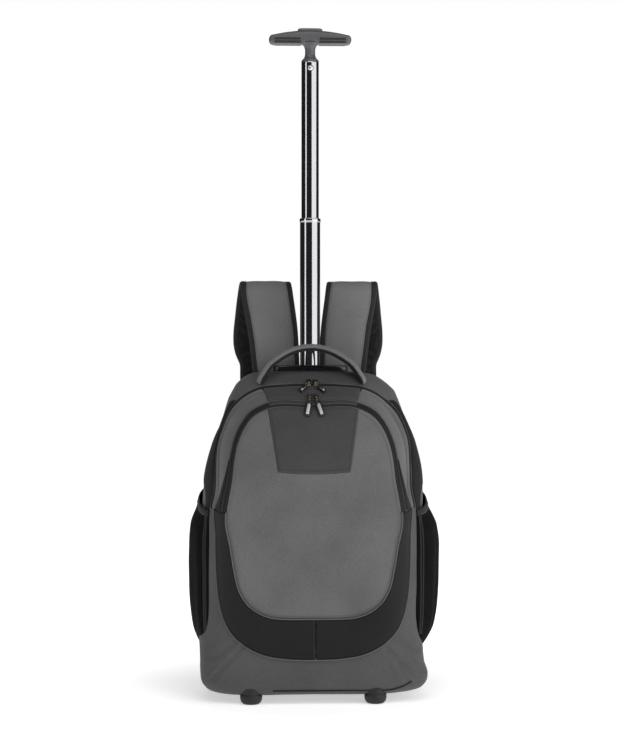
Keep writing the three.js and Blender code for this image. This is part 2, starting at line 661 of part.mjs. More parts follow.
// Side pockets: bulging nets that are open at the top
function netSkin(side) {
  const ringOf = (row) => Array.from({ length: NET_POINTS }, (_, i) => {
    const angle = (2 * Math.PI * i) / NET_POINTS;
    const fold = 1 + (NET_FOLD_DEPTH / NET_BULGE) * Math.cos(NET_FOLDS * angle);
    const x = NET_CENTRE_X + NET_BULGE * row.bulge * fold * Math.cos(angle);
    const y = NET_CENTRE_Y + NET_HALF_DEPTH * row.depth * Math.sin(angle);
    return new THREE.Vector3(x, y, NET_BOTTOM + row.z * NET_HEIGHT);
  });
  const low = new THREE.Vector3(NET_CENTRE_X, NET_CENTRE_Y, NET_BOTTOM - NET_WALL);
  const high = new THREE.Vector3(NET_CENTRE_X, NET_CENTRE_Y, NET_BOTTOM + NET_HEIGHT * 1.12);
  const geometry = loft(low, NET_SECTIONS.map(ringOf), high);
  if (side < 0) {
    geometry.scale(-1, 1, 1);
    const order = geometry.index.array;
    for (let i = 0; i < order.length; i += 3) [order[i], order[i + 1]] = [order[i + 1], order[i]];
  }
  return geometry;
}

const netClear = (side) => grown(netSkin(side), BINDING_THICKNESS + 2 * GAP);

// Everything above the sloping rim of a side pocket, starting a given height below it
function aboveRim(drop) {
  const rim = NET_BOTTOM + NET_HEIGHT - drop;
  const slope = Math.atan2(NET_FRONT_DIP, NET_HALF_DEPTH * 2);
  const tall = BAG_HEIGHT;
  const block = new THREE.BoxGeometry(BAG_HALF_WIDTH * 3, BAG_DEPTH * 2, tall);
  block.translate(0, 0, tall / 2).rotateX(slope).translate(0, NET_CENTRE_Y, rim);
  return solidOf(block);
}

function netPocket(side) {
  const skin = netSkin(side);
  return solidOf(skin).subtract(grown(skin, -NET_WALL)).subtract(bagClear).subtract(aboveRim(0));
}

function netBinding(side) {
  const skin = netSkin(side);
  const band = aboveRim(BINDING_HEIGHT).subtract(aboveRim(0));
  return grown(skin, GAP + BINDING_THICKNESS).subtract(grown(skin, GAP)).subtract(bagClear).intersect(band);
}

// A soft bar through rows of place, width and thickness, flat across the given direction
function softBar(rows, across, sides = 8, squareness = 3) {
  const curve = new THREE.CatmullRomCurve3(rows.map((row) => row.place), false, 'centripetal');
  const steps = (rows.length - 1) * 2;
  const rings = Array.from({ length: steps + 1 }, (_, i) => {
    const share = i / steps;
    const low = rows[Math.min(Math.floor(share * (rows.length - 1)), rows.length - 2)];
    const high = rows[rows.indexOf(low) + 1];
    const between = share * (rows.length - 1) - rows.indexOf(low);
    const width = low.width + (high.width - low.width) * between;
    const thick = low.thick + (high.thick - low.thick) * between;
    const along = curve.getTangent(share);
    const centre = curve.getPoint(share);
    const wide = across.clone().addScaledVector(along, -across.dot(along)).normalize();
    const deep = new THREE.Vector3().crossVectors(along, wide);
    return Array.from({ length: sides }, (_, k) => {
      const angle = (2 * Math.PI * k) / sides;
      const power = 2 / squareness;
      const u = Math.sign(Math.cos(angle)) * Math.abs(Math.cos(angle)) ** power * (width / 2);
      const v = Math.sign(Math.sin(angle)) * Math.abs(Math.sin(angle)) ** power * (thick / 2);
      return centre.clone().addScaledVector(wide, u).addScaledVector(deep, v);
    });
  });
  return solidOf(loft(rows[0].place, rings, rows.at(-1).place));
}

const STRAP_BASE_Y = BACK_Y + STRAP_THICKNESS / 2 + 2 * GAP;

function strapRows(side) {
  return STRAP_PATH.map((row) => ({
    place: new THREE.Vector3(
      side * row.x * STRAP_SPREAD,
      STRAP_BASE_Y + row.y * STRAP_BACKSET,
      STRAP_FOOT + row.z * STRAP_REACH,
    ),
    width: row.width * STRAP_WIDTH,
    thick: row.thick * STRAP_THICKNESS,
  }));
}

function shoulderStrap(side) {
  return softBar(strapRows(side), new THREE.Vector3(1, 0, 0));
}

// Ladder lock under the strap's end, and the webbing from it to the bag's lower corner
function lockCentre(side) {
  const end = strapRows(side).at(-1).place;
  return new THREE.Vector3(end.x, end.y, end.z - LOCK_HEIGHT / 2 - STRAP_END_CLEAR);
}

function ladderLock(side) {
  const { x, y, z } = lockCentre(side);
  const slot = (LOCK_HEIGHT - 3 * LOCK_BAR) / 2;
  const shift = (slot + LOCK_BAR) / 2;
  const hole = (at) => boxSolid(LOCK_WIDTH - 2 * LOCK_BAR, LOCK_THICKNESS * 3, slot, x, y, z + at);
  return boxSolid(LOCK_WIDTH, LOCK_THICKNESS, LOCK_HEIGHT, x, y, z).subtract(hole(shift)).subtract(hole(-shift));
}

function lowerWebbing(side) {
  const { x, y, z } = lockCentre(side);
  const innerEdge = WEBBING_FOOT_X - WEBBING_WIDTH / 2;
  const foot = bagSurface(innerEdge, WEBBING_FOOT_Z, 'back') + WEBBING_THICKNESS / 2 + 2 * GAP;
  const top = z - LOCK_HEIGHT / 2 - GAP;
  const at = (share, bow, across = share) => ({
    place: new THREE.Vector3(
      x + (side * WEBBING_FOOT_X - x) * across,
      y + (foot - y) * share + bow,
      top + (WEBBING_FOOT_Z - top) * share,
    ),
    width: WEBBING_WIDTH,
    thick: WEBBING_THICKNESS,
  });
  const rows = [
    at(0, 0), at(0.06, 0, 0), at(0.25, 5, 0.2), at(0.5, 12), at(0.75, 15), at(0.94, 6, 0.97), at(1, 0),
  ];
  return softBar(rows, new THREE.Vector3(1, 0, 0), 8, 6);
}

function backPad() {
  const outline = roundedRectangle(PAD_HALF_WIDTH, PAD_BOTTOM, PAD_TOP, PAD_CORNER);
  const bodyMiddle = POCKET_PROUD + BAG_DEPTH / 2;
  return grown(bagSkin, GAP + PAD_THICKNESS)
    .subtract(grown(bagSkin, GAP))
    .intersect(slab(outline, bodyMiddle, BACK_Y + BAG_DEPTH));
}

function carryHandle() {
  const footY = bagSurface(CARRY_SPAN / 2, CARRY_FOOT_Z);
  const rows = CARRY_PATH.map((row) => ({
    place: new THREE.Vector3(
      (row.x * CARRY_SPAN) / 2,
      footY + row.y * CARRY_BACKSET,
      CARRY_FOOT_Z + row.z * CARRY_RISE,
    ),
    width: CARRY_WIDTH,
    thick: CARRY_THICKNESS,
  }));
  return softBar(rows, new THREE.Vector3(0, 1, 0)).subtract(grown(bagSkin, GAP));
}

// Pole, from the guide tube in the bag up to the grip
function tube(radius, inner, bottom, top, collar) {
  const profile = [[inner, bottom], [radius, bottom]];
  if (collar) {
    const start = top - COLLAR_HEIGHT;
    profile.push([radius, start], [radius + COLLAR_PROUD, start + COLLAR_PROUD]);
    profile.push([radius + COLLAR_PROUD, top - COLLAR_PROUD]);
  }
  profile.push([radius, top], [inner, top], [inner, bottom]);
  return turned(profile, TUBE_SIDES, 0, POLE_Y);
}

const lowerTubeBottom = GUIDE_TOP - TUBE_OVERLAP - PORT_HEIGHT;
const upperTubeBottom = LOWER_TUBE_TOP - TUBE_OVERLAP;
const guideTubeBottom = BAG_BOTTOM + BAG_WALL + GUIDE_LIFT;
const guideTube = () => tube(GUIDE_TUBE_RADIUS, GUIDE_INNER, guideTubeBottom, GUIDE_TOP, false);
const lowerTube = () => tube(
  LOWER_TUBE_RADIUS, UPPER_TUBE_RADIUS + TUBE_CLEARANCE, lowerTubeBottom, LOWER_TUBE_TOP, true);
const upperTube = () => tube(
  UPPER_TUBE_RADIUS, UPPER_TUBE_RADIUS - TUBE_WALL, upperTubeBottom, TUBE_TOP, false);

function handlePort() {
  const outline = roundedRectangle(PORT_WIDTH / 2, -PORT_DEPTH / 2, PORT_DEPTH / 2, PORT_CORNER);
  const shape = new THREE.Shape(outline.map((p) => new THREE.Vector2(p.x, p.z)));
  const bevel = { bevelThickness: PORT_BEVEL, bevelSize: PORT_BEVEL, bevelOffset: -PORT_BEVEL };
  const options = { depth: PORT_HEIGHT - 2 * PORT_BEVEL, bevelEnabled: true, bevelSegments: 1, ...bevel };
  const plate = new THREE.ExtrudeGeometry(shape, options);
  plate.translate(0, POLE_Y, BAG_TOP + GAP + PORT_BEVEL);
  const hole = rod(GUIDE_TUBE_RADIUS + GAP, PORT_HEIGHT * 4, TUBE_SIDES, 0, POLE_Y, BAG_TOP);
  return solidOf(plate).subtract(hole);
}

function gripOutline() {
  const half = GRIP_WIDTH / 2;
  const endTop = GRIP_HEIGHT - GRIP_END_DROP;
  const round = endTop / 2;
  const points = [];
  for (let i = 0; i <= END_STEPS; i++) {
    const angle = -Math.PI / 2 + (Math.PI * i) / END_STEPS;
    const lift = GRIP_BOTTOM + round + round * Math.sin(angle);
    points.push({ x: half - round + round * Math.cos(angle), z: lift });
  }
  for (let i = 1; i < 2 * END_STEPS; i++) {
    const x = (half - round) * (1 - i / END_STEPS);
    const crown = GRIP_END_DROP * (1 - (x / (half - round)) ** 2);
    points.push({ x, z: GRIP_BOTTOM + endTop + crown });
  }
  for (let i = END_STEPS; i >= 0; i--) {
    const angle = -Math.PI / 2 + (Math.PI * i) / END_STEPS;
    const lift = GRIP_BOTTOM + round + round * Math.sin(angle);
    points.push({ x: round - half - round * Math.cos(angle), z: lift });
  }
  return points;
}

// Button pocket or button, as a bar with round ends that stands between two heights
function buttonBar(width, depth, bottom, top) {
  const outline = roundedRectangle(width / 2, -depth / 2, depth / 2, depth / 2 - 0.01);
  const shape = new THREE.Shape(outline.map((p) => new THREE.Vector2(p.x, p.z)));
  const geometry = new THREE.ExtrudeGeometry(shape, { depth: top - bottom, bevelEnabled: false });
  return solidOf(geometry.translate(0, POLE_Y, bottom));
}

function tGrip() {
  const shape = new THREE.Shape(gripOutline().map((p) => new THREE.Vector2(p.x, p.z)));
  const bevel = { bevelThickness: GRIP_ROUND, bevelSize: GRIP_ROUND, bevelOffset: -GRIP_ROUND };
  const options = { depth: GRIP_DEPTH - 2 * GRIP_ROUND, bevelEnabled: true, bevelSegments: 1, ...bevel };
  const bar = new THREE.ExtrudeGeometry(shape, options).rotateX(Math.PI / 2);
  bar.translate(0, POLE_Y + GRIP_DEPTH / 2 - GRIP_ROUND, 0);
  const base = TUBE_TOP + GAP;
  const neckRows = NECK_PROFILE.map(({ radius, z }) => [
    NECK_RADIUS + (UPPER_TUBE_RADIUS - NECK_RADIUS) * radius, base + (GRIP_BOTTOM - base) * z]);
  const neck = turned([[0, base], ...neckRows, [0, neckRows.at(-1)[1]]], TUBE_SIDES, 0, POLE_Y);
  const floor = GRIP_TOP - BUTTON_SUNK - BUTTON_TRAVEL - 2 * GAP;
  const recess = buttonBar(BUTTON_WIDTH + 2 * GAP, BUTTON_DEPTH + 2 * GAP, floor, GRIP_TOP + GRIP_HEIGHT);
  return solidOf(bar).add(neck).subtract(recess);
}

function gripButton() {
  return buttonBar(BUTTON_WIDTH, BUTTON_DEPTH, GRIP_TOP - BUTTON_SUNK, GRIP_TOP + BUTTON_PROUD);
}

function rivet() {
  const height = TUBE_TOP - RIVET_DROP;
  const front = POLE_Y - UPPER_TUBE_RADIUS;
  const head = turned([
    [0, 0], [RIVET_RADIUS, 0], [RIVET_RADIUS * 0.92, RIVET_HEIGHT * 0.6 + 2],
    [RIVET_RADIUS * 0.5, RIVET_HEIGHT + 2], [0, RIVET_HEIGHT + 2.1],
  ], 16, 0, 0);
  const clear = rod(UPPER_TUBE_RADIUS + GAP, RIVET_RADIUS * 4, TUBE_SIDES * 2, 0, POLE_Y, height);
  const placed = geometryOf(head).rotateX(Math.PI / 2).translate(0, front + 2, height);
  return solidOf(placed).subtract(clear);
}

// Running gear
function wheelHousing(side) {
  const well = rod(
    WHEEL_RADIUS + WELL_CLEARANCE, WHEEL_WIDTH + 2 * WELL_CLEARANCE, WHEEL_SIDES,
    side * WHEEL_X, WHEEL_Y, WHEEL_RADIUS, true);
  const bore = rod(AXLE_RADIUS + GAP, BAG_HALF_WIDTH, 16, side * WHEEL_X, WHEEL_Y, WHEEL_RADIUS, true);
  return housingBlock(side, 0).subtract(well).subtract(bore);
}

function wheelGeometry() {
  const half = WHEEL_WIDTH / 2;
  const bore = AXLE_RADIUS + GAP;
  const round = WHEEL_RADIUS - WHEEL_ROUND;
  const hub = WHEEL_RADIUS * HUB_SHARE;
  const profile = [
    [bore, HUB_SUNK - half], [hub, HUB_SUNK - half], [hub + HUB_SUNK, -half], [round, -half],
    [WHEEL_RADIUS, WHEEL_ROUND - half], [WHEEL_RADIUS, half - WHEEL_ROUND],
    [round, half], [hub + HUB_SUNK, half], [hub, half - HUB_SUNK], [bore, half - HUB_SUNK],
    [bore, HUB_SUNK - half],
  ];
  return geometryOf(turned(profile, WHEEL_SIDES, 0, 0)).rotateY(Math.PI / 2);
}

function axle() {
  const length = WHEEL_WIDTH + 2 * (WELL_CLEARANCE + HOUSING_CHEEK);
  return geometryOf(rod(AXLE_RADIUS, length, 16, 0, 0, 0, true));
}

function foot(side) {
  const top = BAG_BOTTOM - GAP;
  const profile = [
    [0, 0], [FOOT_RADIUS * 0.62, 0], [FOOT_RADIUS * 0.86, top * 0.16], [FOOT_RADIUS, top * 0.46],
    [FOOT_RADIUS, top + 12], [0, top + 12],
  ];
  return turned(profile, 20, side * FOOT_X, FOOT_Y).subtract(bagClear);
}

// Zip sliders and their tabs
function slider(pull) {
  const main = pull.zip === 'main';
  const x = pull.side * (SLIDER_WIDTH / 2 + 1.5);
  const zipMiddle = main
    ? POCKET_BOTTOM + POCKET_HEIGHT + SEAM + MAIN_ZIP_WIDTH / 2
    : PANEL_BOTTOM + PANEL_HEIGHT + SEAM + FRONT_ZIP_WIDTH / 2;
  return { x, z: zipMiddle + pull.rise };
}

// The bag and its front pocket, grown together
const overBag = (distance) => grown(bagSkin, distance).add(grown(pocketDome, distance));

function leaningBar(width, height, x, top, lean) {
  const geometry = new THREE.BoxGeometry(width, bodyDepth, height).translate(0, 0, -height / 2);
  geometry.rotateY(THREE.MathUtils.degToRad(lean));
  return solidOf(geometry.translate(x, bodyDepth / 2 - POCKET_PROUD / 2, top));
}

function sliderBody(pull) {
  const { x, z } = slider(pull);
  const low = GAP + ZIP_THICKNESS + GAP;
  return overBag(low + SLIDER_THICKNESS).subtract(overBag(low))
    .intersect(leaningBar(SLIDER_WIDTH, SLIDER_HEIGHT, x, z + SLIDER_HEIGHT / 2, 0));
}

function pullTab(pull) {
  const { x, z } = slider(pull);
  const low = GAP + ZIP_THICKNESS + GAP;
  const tilt = Math.sin(THREE.MathUtils.degToRad(pull.lean));
  const reach = z - SLIDER_HEIGHT / 2 - GAP - (pull.width / 2) * tilt;
  return overBag(low + PULL_THICKNESS).subtract(overBag(low))
    .intersect(leaningBar(pull.width, pull.length, x, reach, -pull.side * pull.lean));
}

// Assembly
const bag = new THREE.Group();

function piece(name, shape, material, x = 0, y = 0, z = 0) {
  const geometry = shape.isBufferGeometry ? shape : geometryOf(shape);
  const mesh = new THREE.Mesh(geometry, material);
  mesh.name = name;
  mesh.position.set(x, y, z);
  bag.add(mesh);
}

piece('main_compartment', mainCompartment(), GREY_CLOTH);
piece('front_pocket', frontPocket(), PALE_CLOTH);
piece('lower_panel', lowerPanel(), BLACK_CLOTH);
piece('trapezoid_patch', trapezoidPatch(), DARK_CLOTH);
piece('top_panel_front', topPanelFront(), DARK_CLOTH);
piece('top_panel_rear', topPanelRear(), DARK_CLOTH);
piece('front_zip', frontZip(), BLACK_TRIM);
piece('main_zip', mainZip(), BLACK_TRIM);
piece('back_pad', backPad(), BLACK_CLOTH);
piece('carry_handle', carryHandle(), PALE_CLOTH);

for (const [label, side] of [['left', -1], ['right', 1]]) {
  piece(`side_band_${label}`, sideBand(side), BLACK_CLOTH);
  piece(`net_pocket_${label}`, netPocket(side), NET);
  piece(`net_binding_${label}`, netBinding(side), BLACK_TRIM);
  piece(`shoulder_strap_${label}`, shoulderStrap(side), PALE_CLOTH);
  piece(`ladder_lock_${label}`, ladderLock(side), BLACK_PLASTIC);
  piece(`lower_webbing_${label}`, lowerWebbing(side), BLACK_TRIM);
  piece(`foot_${label}`, foot(side), BLACK_PLASTIC);
  piece(`wheel_housing_${label}`, wheelHousing(side), BLACK_PLASTIC);
  piece(`axle_${label}`, axle(), GUNMETAL, side * WHEEL_X, WHEEL_Y, WHEEL_RADIUS);
  piece(`wheel_${label}`, wheelGeometry(), RUBBER, side * WHEEL_X, WHEEL_Y, WHEEL_RADIUS);
}

for (const pull of PULLS) {
  piece(`${pull.name}_slider`, sliderBody(pull), GUNMETAL);
  piece(`${pull.name}_tab`, pullTab(pull), RUBBER);
}

piece('handle_port', handlePort(), BLACK_PLASTIC);
piece('guide_tube', guideTube(), BLACK_CHROME);
piece('lower_tube', lowerTube(), BLACK_CHROME);
piece('upper_tube', upperTube(), BLACK_CHROME);
piece('t_grip', tGrip(), SATIN_PLASTIC);
piece('grip_button', gripButton(), SATIN_PLASTIC);
piece('rivet', rivet(), GUNMETAL);

// The origin goes on the floor under the middle of the whole bag
const extent = new THREE.Box3().setFromObject(bag);
bag.position.y = -(extent.min.y + extent.max.y) / 2;

export default bag;
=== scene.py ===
# %% [markdown]
# # A wheeled backpack
#
# This notebook dresses a finished construction of a wheeled backpack: its pole, wheels and cloth shells are
# already in place and at their real size. Here each piece gets the shape and the finish of the real thing.
# Everything is in metres. +X is the bag's right as seen from the front, +Y is its back and +Z is up.

# %% Load the frame
import math

import bmesh
import bpy
import numpy as np
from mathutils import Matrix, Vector, noise


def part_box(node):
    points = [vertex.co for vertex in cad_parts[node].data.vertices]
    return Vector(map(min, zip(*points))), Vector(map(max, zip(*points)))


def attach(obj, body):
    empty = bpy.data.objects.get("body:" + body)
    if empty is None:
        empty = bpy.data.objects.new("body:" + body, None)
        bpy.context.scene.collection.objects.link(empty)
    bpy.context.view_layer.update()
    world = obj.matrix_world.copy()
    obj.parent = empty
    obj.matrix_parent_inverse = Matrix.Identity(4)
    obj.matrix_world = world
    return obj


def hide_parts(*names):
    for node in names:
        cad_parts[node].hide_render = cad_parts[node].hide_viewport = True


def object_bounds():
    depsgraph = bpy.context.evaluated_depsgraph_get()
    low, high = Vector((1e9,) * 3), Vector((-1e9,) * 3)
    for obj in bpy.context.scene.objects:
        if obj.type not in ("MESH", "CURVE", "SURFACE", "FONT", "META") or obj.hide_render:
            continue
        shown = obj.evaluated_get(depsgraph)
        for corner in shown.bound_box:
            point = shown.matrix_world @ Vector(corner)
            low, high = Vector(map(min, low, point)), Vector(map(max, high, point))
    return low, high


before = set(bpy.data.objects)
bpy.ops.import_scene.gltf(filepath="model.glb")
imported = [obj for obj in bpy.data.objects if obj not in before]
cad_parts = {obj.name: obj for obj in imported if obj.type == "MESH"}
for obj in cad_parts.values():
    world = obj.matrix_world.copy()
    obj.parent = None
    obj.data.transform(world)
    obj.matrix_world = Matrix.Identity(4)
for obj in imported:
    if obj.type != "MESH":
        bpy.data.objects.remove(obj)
CAD_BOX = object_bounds()
MM = 0.001

# %% [markdown]
# ## The camera
# The photograph was taken from straight in front, level with the top of the bag and a few degrees to its
# left, so that the back of the bag lies a little to the left of its front. A long lens at two and a half
# metres keeps the sides nearly parallel.

# %% Place the camera
FRONT_Y = CAD_BOX[0][1]
CAMERA_DISTANCE = 2.5
CAMERA_HEIGHT = 0.513
CAMERA_TURN = math.radians(-2.2)
LENS_MM = 81.6
AIM = Vector((0.0007, FRONT_Y, CAMERA_HEIGHT))

camera_data = bpy.data.cameras.new("camera")
camera_data.lens = LENS_MM
camera = bpy.data.objects.new("camera", camera_data)
bpy.context.scene.collection.objects.link(camera)
away = Vector((math.sin(CAMERA_TURN), -math.cos(CAMERA_TURN), 0.0))
camera.location = AIM + away * CAMERA_DISTANCE
camera.rotation_euler = (math.radians(90), 0.0, CAMERA_TURN)
bpy.context.scene.camera = camera
print("camera at", tuple(round(v, 3) for v in camera.location))

# %% [markdown]
# ## Small helpers
# Colours are written as the sRGB hex values that a picture editor shows, and one function turns them into
# the linear values that the renderer works with. One function adds a node, and one makes a mesh object.

# %% Helpers for colours, nodes and meshes
def linear(hex_colour):
    """An sRGB hex colour as linear red, green, blue and alpha."""
    values = [int(hex_colour[i:i + 2], 16) / 255 for i in (1, 3, 5)]
    return [v / 12.92 if v <= 0.04045 else ((v + 0.055) / 1.055) ** 2.4 for v in values] + [1.0]


def feed(tree, node, inputs):
    """Give a node its input values and link the sockets that feed it."""
    for name, value in inputs.items():
        if isinstance(value, bpy.types.NodeSocket):
            tree.links.new(value, node.inputs[name])
        else:
            node.inputs[name].default_value = value


def add_node(tree, kind, inputs=(), **settings):
    """One node of a tree, with its settings, its input values and the sockets that feed it."""
    made = tree.nodes.new(kind)
    for name, value in settings.items():
        setattr(made, name, value)
    feed(tree, made, dict(inputs))
    return made


def outward_mesh(name, points, faces):
    """A new mesh with merged corners and its faces pointing outwards."""
    mesh = bpy.data.meshes.new(name)
    mesh.from_pydata([tuple(p) for p in points], [], faces)
    work = bmesh.new()
    work.from_mesh(mesh)
    bmesh.ops.remove_doubles(work, verts=work.verts, dist=1e-6)
    bmesh.ops.recalc_face_normals(work, faces=work.faces)
    work.to_mesh(mesh)
    work.free()
    return mesh


def shade_smooth(mesh, smooth=True):
    mesh.polygons.foreach_set("use_smooth", [smooth] * len(mesh.polygons))


def mesh_object(name, points, faces, material, smooth=True):
    """A new mesh object at the origin, in the scene, with its material."""
    mesh = outward_mesh(name, points, faces)
    shade_smooth(mesh, smooth)
    made = bpy.data.objects.new(name, mesh)
    bpy.context.scene.collection.objects.link(made)
    mesh.materials.append(material)
    return made


def ring_faces(rows, count, closed=False, caps=True):
    """The faces between rings of points that follow each other, and one over each open end."""
    total, faces = rows * count, []
    for r in range(rows if closed else rows - 1):
        for k in range(count):
            a, b = r * count + k, r * count + (k + 1) % count
            faces.append((a, b, (b + count) % total, (a + count) % total))
    if caps and not closed:
        faces += [tuple(range(count)), tuple((rows - 1) * count + k for k in reversed(range(count)))]
    return faces


def shell_faces(rows, columns):
    """The faces of a closed shell: a grid of points, a second grid under it and the wall between them."""
    top, faces = rows * columns, []
    for r in range(rows - 1):
        for c in range(columns - 1):
            a = r * columns + c
            square = (a, a + 1, a + columns + 1, a + columns)
            faces += [square, tuple(top + k for k in reversed(square))]
    border = list(range(columns)) + [r * columns + columns - 1 for r in range(1, rows)]
    border += [(rows - 1) * columns + c for c in range(columns - 2, -1, -1)]
    border += [r * columns for r in range(rows - 2, 0, -1)]
    faces += [(a, b, top + b, top + a) for a, b in zip(border, border[1:] + border[:1])]
    return faces


def rounded_rectangle(low_u, low_v, high_u, high_v, corner, steps):
    """The places round a rectangle with round corners, from its lower right corner on."""
    places = []
    for u, v, start in (
            (high_u - corner, low_v + corner, -90), (high_u - corner, high_v - corner, 0),
            (low_u + corner, high_v - corner, 90), (low_u + corner, low_v + corner, 180)):
        for i in range(steps + 1):
            turn = math.radians(start + 90 * i / steps)
            places.append((u + corner * math.cos(turn), v + corner * math.sin(turn)))
    return places


def apply_modifiers(piece):
    """Make what a piece's modifiers do a part of its own mesh."""
    evaluated = piece.evaluated_get(bpy.context.evaluated_depsgraph_get())
    plain = bpy.data.meshes.new_from_object(evaluated)
    piece.modifiers.clear()
    piece.data = plain
    return plain


SIDES = (("left", -1), ("right", 1))
DRESSED = []


def dress(piece, body, slot, *nodes):
    """Say which body a finished piece moves with and the solids that it stands for; the finish (slot) is not
    used.
    """
    DRESSED.append(piece)
    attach(piece, body)
    if nodes:
        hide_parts(*nodes)
    print(f"{piece.name}: {len(piece.data.polygons)} faces")
    return piece


# %% [markdown]
# ## Smooth curves from short tables
# The bag's form is written as short tables of shares of its named sizes, as a pattern maker writes a block.
# A monotone cubic runs smoothly through a table's rows and never overshoots between them, which a plain
# spline would do at the sharp turns near the floor and the top.

# %% Curves through tables
def cubic_through(places, values):
    """A smooth function through values at rising places, without overshoot."""
    places, values = np.array(places, float), np.array(values, float)
    steps, rises = np.diff(places), np.diff(values)
    slopes = rises / steps
    tangents = np.zeros_like(values)
    for i in range(1, len(values) - 1):
        if slopes[i - 1] * slopes[i] > 0:
            before, after = 2 * steps[i] + steps[i - 1], steps[i] + 2 * steps[i - 1]
            tangents[i] = (before + after) / (before / slopes[i - 1] + after / slopes[i])
    tangents[0], tangents[-1] = slopes[0], slopes[-1]

    def at(place):
        place = min(max(place, places[0]), places[-1])
        i = min(int(np.searchsorted(places, place, side="right")) - 1, len(steps) - 1)
        t = (place - places[i]) / steps[i]
        return (
            values[i] * (1 + 2 * t) * (1 - t) ** 2 + steps[i] * tangents[i] * t * (1 - t) ** 2
            + values[i + 1] * t * t * (3 - 2 * t) + steps[i] * tangents[i + 1] * t * t * (t - 1)
        )
    return at


def closed_curve(points, count):
    """A closed smooth curve through a few flat points, as evenly spaced points."""
    ring = np.array(points, float)
    ahead = np.roll(ring, -1, axis=0) - ring
    chords = np.linalg.norm(ahead, axis=1)[:, None]
    slopes, before = ahead / chords, np.roll(chords, 1, axis=0)
    tangents = (np.roll(slopes, 1, axis=0) * chords + slopes * before) / (chords + before)
    dense = []
    for i in range(len(ring)):
        k = (i + 1) % len(ring)
        for t in np.linspace(0, 1, 12, endpoint=False):
            dense.append(
                (1 + 2 * t) * (1 - t) ** 2 * ring[i] + t * (1 - t) ** 2 * chords[i] * tangents[i]
                + t * t * (3 - 2 * t) * ring[k] + t * t * (t - 1) * chords[i] * tangents[k])
    dense = np.array(dense + [dense[0]])
    lengths = np.concatenate([[0], np.cumsum(np.linalg.norm(np.diff(dense, axis=0), axis=1))])
    wanted = np.linspace(0, lengths[-1], count, endpoint=False)
    return np.stack([np.interp(wanted, lengths, dense[:, k]) for k in range(2)], axis=1)


# %% [markdown]
# ## The form of the bag
# From below the bag is a rounded rectangle, squarer at the back, where a board and the pole hold it flat,
# than at the front. Going up, it keeps its width to two thirds of its height and then draws in to the
# shoulders. These are the same shares that the solid shell was made from.

# %% Sizes and sections of the bag
BAG_LOW, BAG_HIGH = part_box("main_compartment")
HALF_WIDTH = BAG_HIGH.x
BOTTOM, HEIGHT = BAG_LOW.z, BAG_HIGH.z - BAG_LOW.z
BAG_FRONT, BAG_DEPTH = BAG_LOW.y, BAG_HIGH.y - BAG_LOW.y
FRONT_POWER, BACK_POWER = 3.0, 6.0
BASE_SQUARENESS, BASE_SQUARE_HEIGHT = 2.0, 60 * MM

# share of height, half width, front and back
SECTIONS = [
    (0.000, 0.763, 0.180, 0.920), (0.004, 0.879, 0.095, 0.960), (0.016, 0.948, 0.042, 0.987),
    (0.041, 0.988, 0.011, 0.997), (0.090, 1.000, 0.000, 1.000), (0.190, 1.000, 0.000, 1.000),
    (0.517, 1.000, 0.003, 1.000), (0.601, 0.997, 0.016, 1.000), (0.670, 0.983, 0.042, 1.000),
    (0.770, 0.919, 0.127, 1.000), (0.849, 0.827, 0.243, 1.000), (0.916, 0.734, 0.354, 1.000),
    (0.945, 0.688, 0.397, 1.000), (0.967, 0.647, 0.455, 0.997), (0.984, 0.601, 0.529, 0.990),
    (0.994, 0.532, 0.614, 0.963), (0.999, 0.393, 0.709, 0.910),
]
section_places = [row[0] for row in SECTIONS]
width_at, front_at, back_at = (
    cubic_through(section_places, [row[k] for row in SECTIONS]) for k in (1, 2, 3))


def section(z):
    """Half width, front depth and back depth of the bag at a height."""
    share = (z - BOTTOM) / HEIGHT
    return (
        width_at(share) * HALF_WIDTH,
        BAG_FRONT + front_at(share) * BAG_DEPTH,
        BAG_FRONT + back_at(share) * BAG_DEPTH,
    )


def front_power(z):
    """How square the front of a section is: squarer near the base, whose board holds the corners out."""
    return FRONT_POWER + BASE_SQUARENESS * math.exp(-((z - BOTTOM) / BASE_SQUARE_HEIGHT) ** 2)


def bag_front(x, z):
    """The depth of the bag's front cloth at a place in the front view."""
    half, front, back = section(z)
    share, power = min(abs(x) / half, 0.999), front_power(z)
    return (front + back) / 2 - (back - front) / 2 * (1 - share ** power) ** (1 / power)


def bag_back(x, z):
    """The depth of the bag's back cloth at a place in the back view."""
    half, front, back = section(z)
    share = min(abs(x) / half, 0.999)
    return (front + back) / 2 + (back - front) / 2 * (1 - share ** BACK_POWER) ** (1 / BACK_POWER)


print(f"bag {2 * HALF_WIDTH:.3f} wide, {BAG_DEPTH:.3f} deep, {HEIGHT:.3f} tall")

# %% [markdown]
# ## The form of the front pocket
# The pocket is a dome on the front of the bag. Its pale face has the outline of a shield, and a gusset runs
# from the face's edge back to the bag. Places on it are given as an angle round its middle and a reach: 0 is
# the middle, 1 is the edge of the pale face, 2 is where the gusset meets the bag, and past 2 is the bag.

# %% Outlines and surface of the pocket
POCKET_BOTTOM, POCKET_HEIGHT = 69 * MM, 411 * MM
POCKET_HALF = 151 * MM
REACH_STEP = 10 * MM  # what one unit of reach past 2 measures
FACE_BOTTOM, FACE_HEIGHT = 134 * MM, 317 * MM
FACE_HALF = 132 * MM
FACE_LEAN, FACE_CROWN = 33 * MM, 12 * MM
MIDDLE_Z = POCKET_BOTTOM + POCKET_HEIGHT / 2

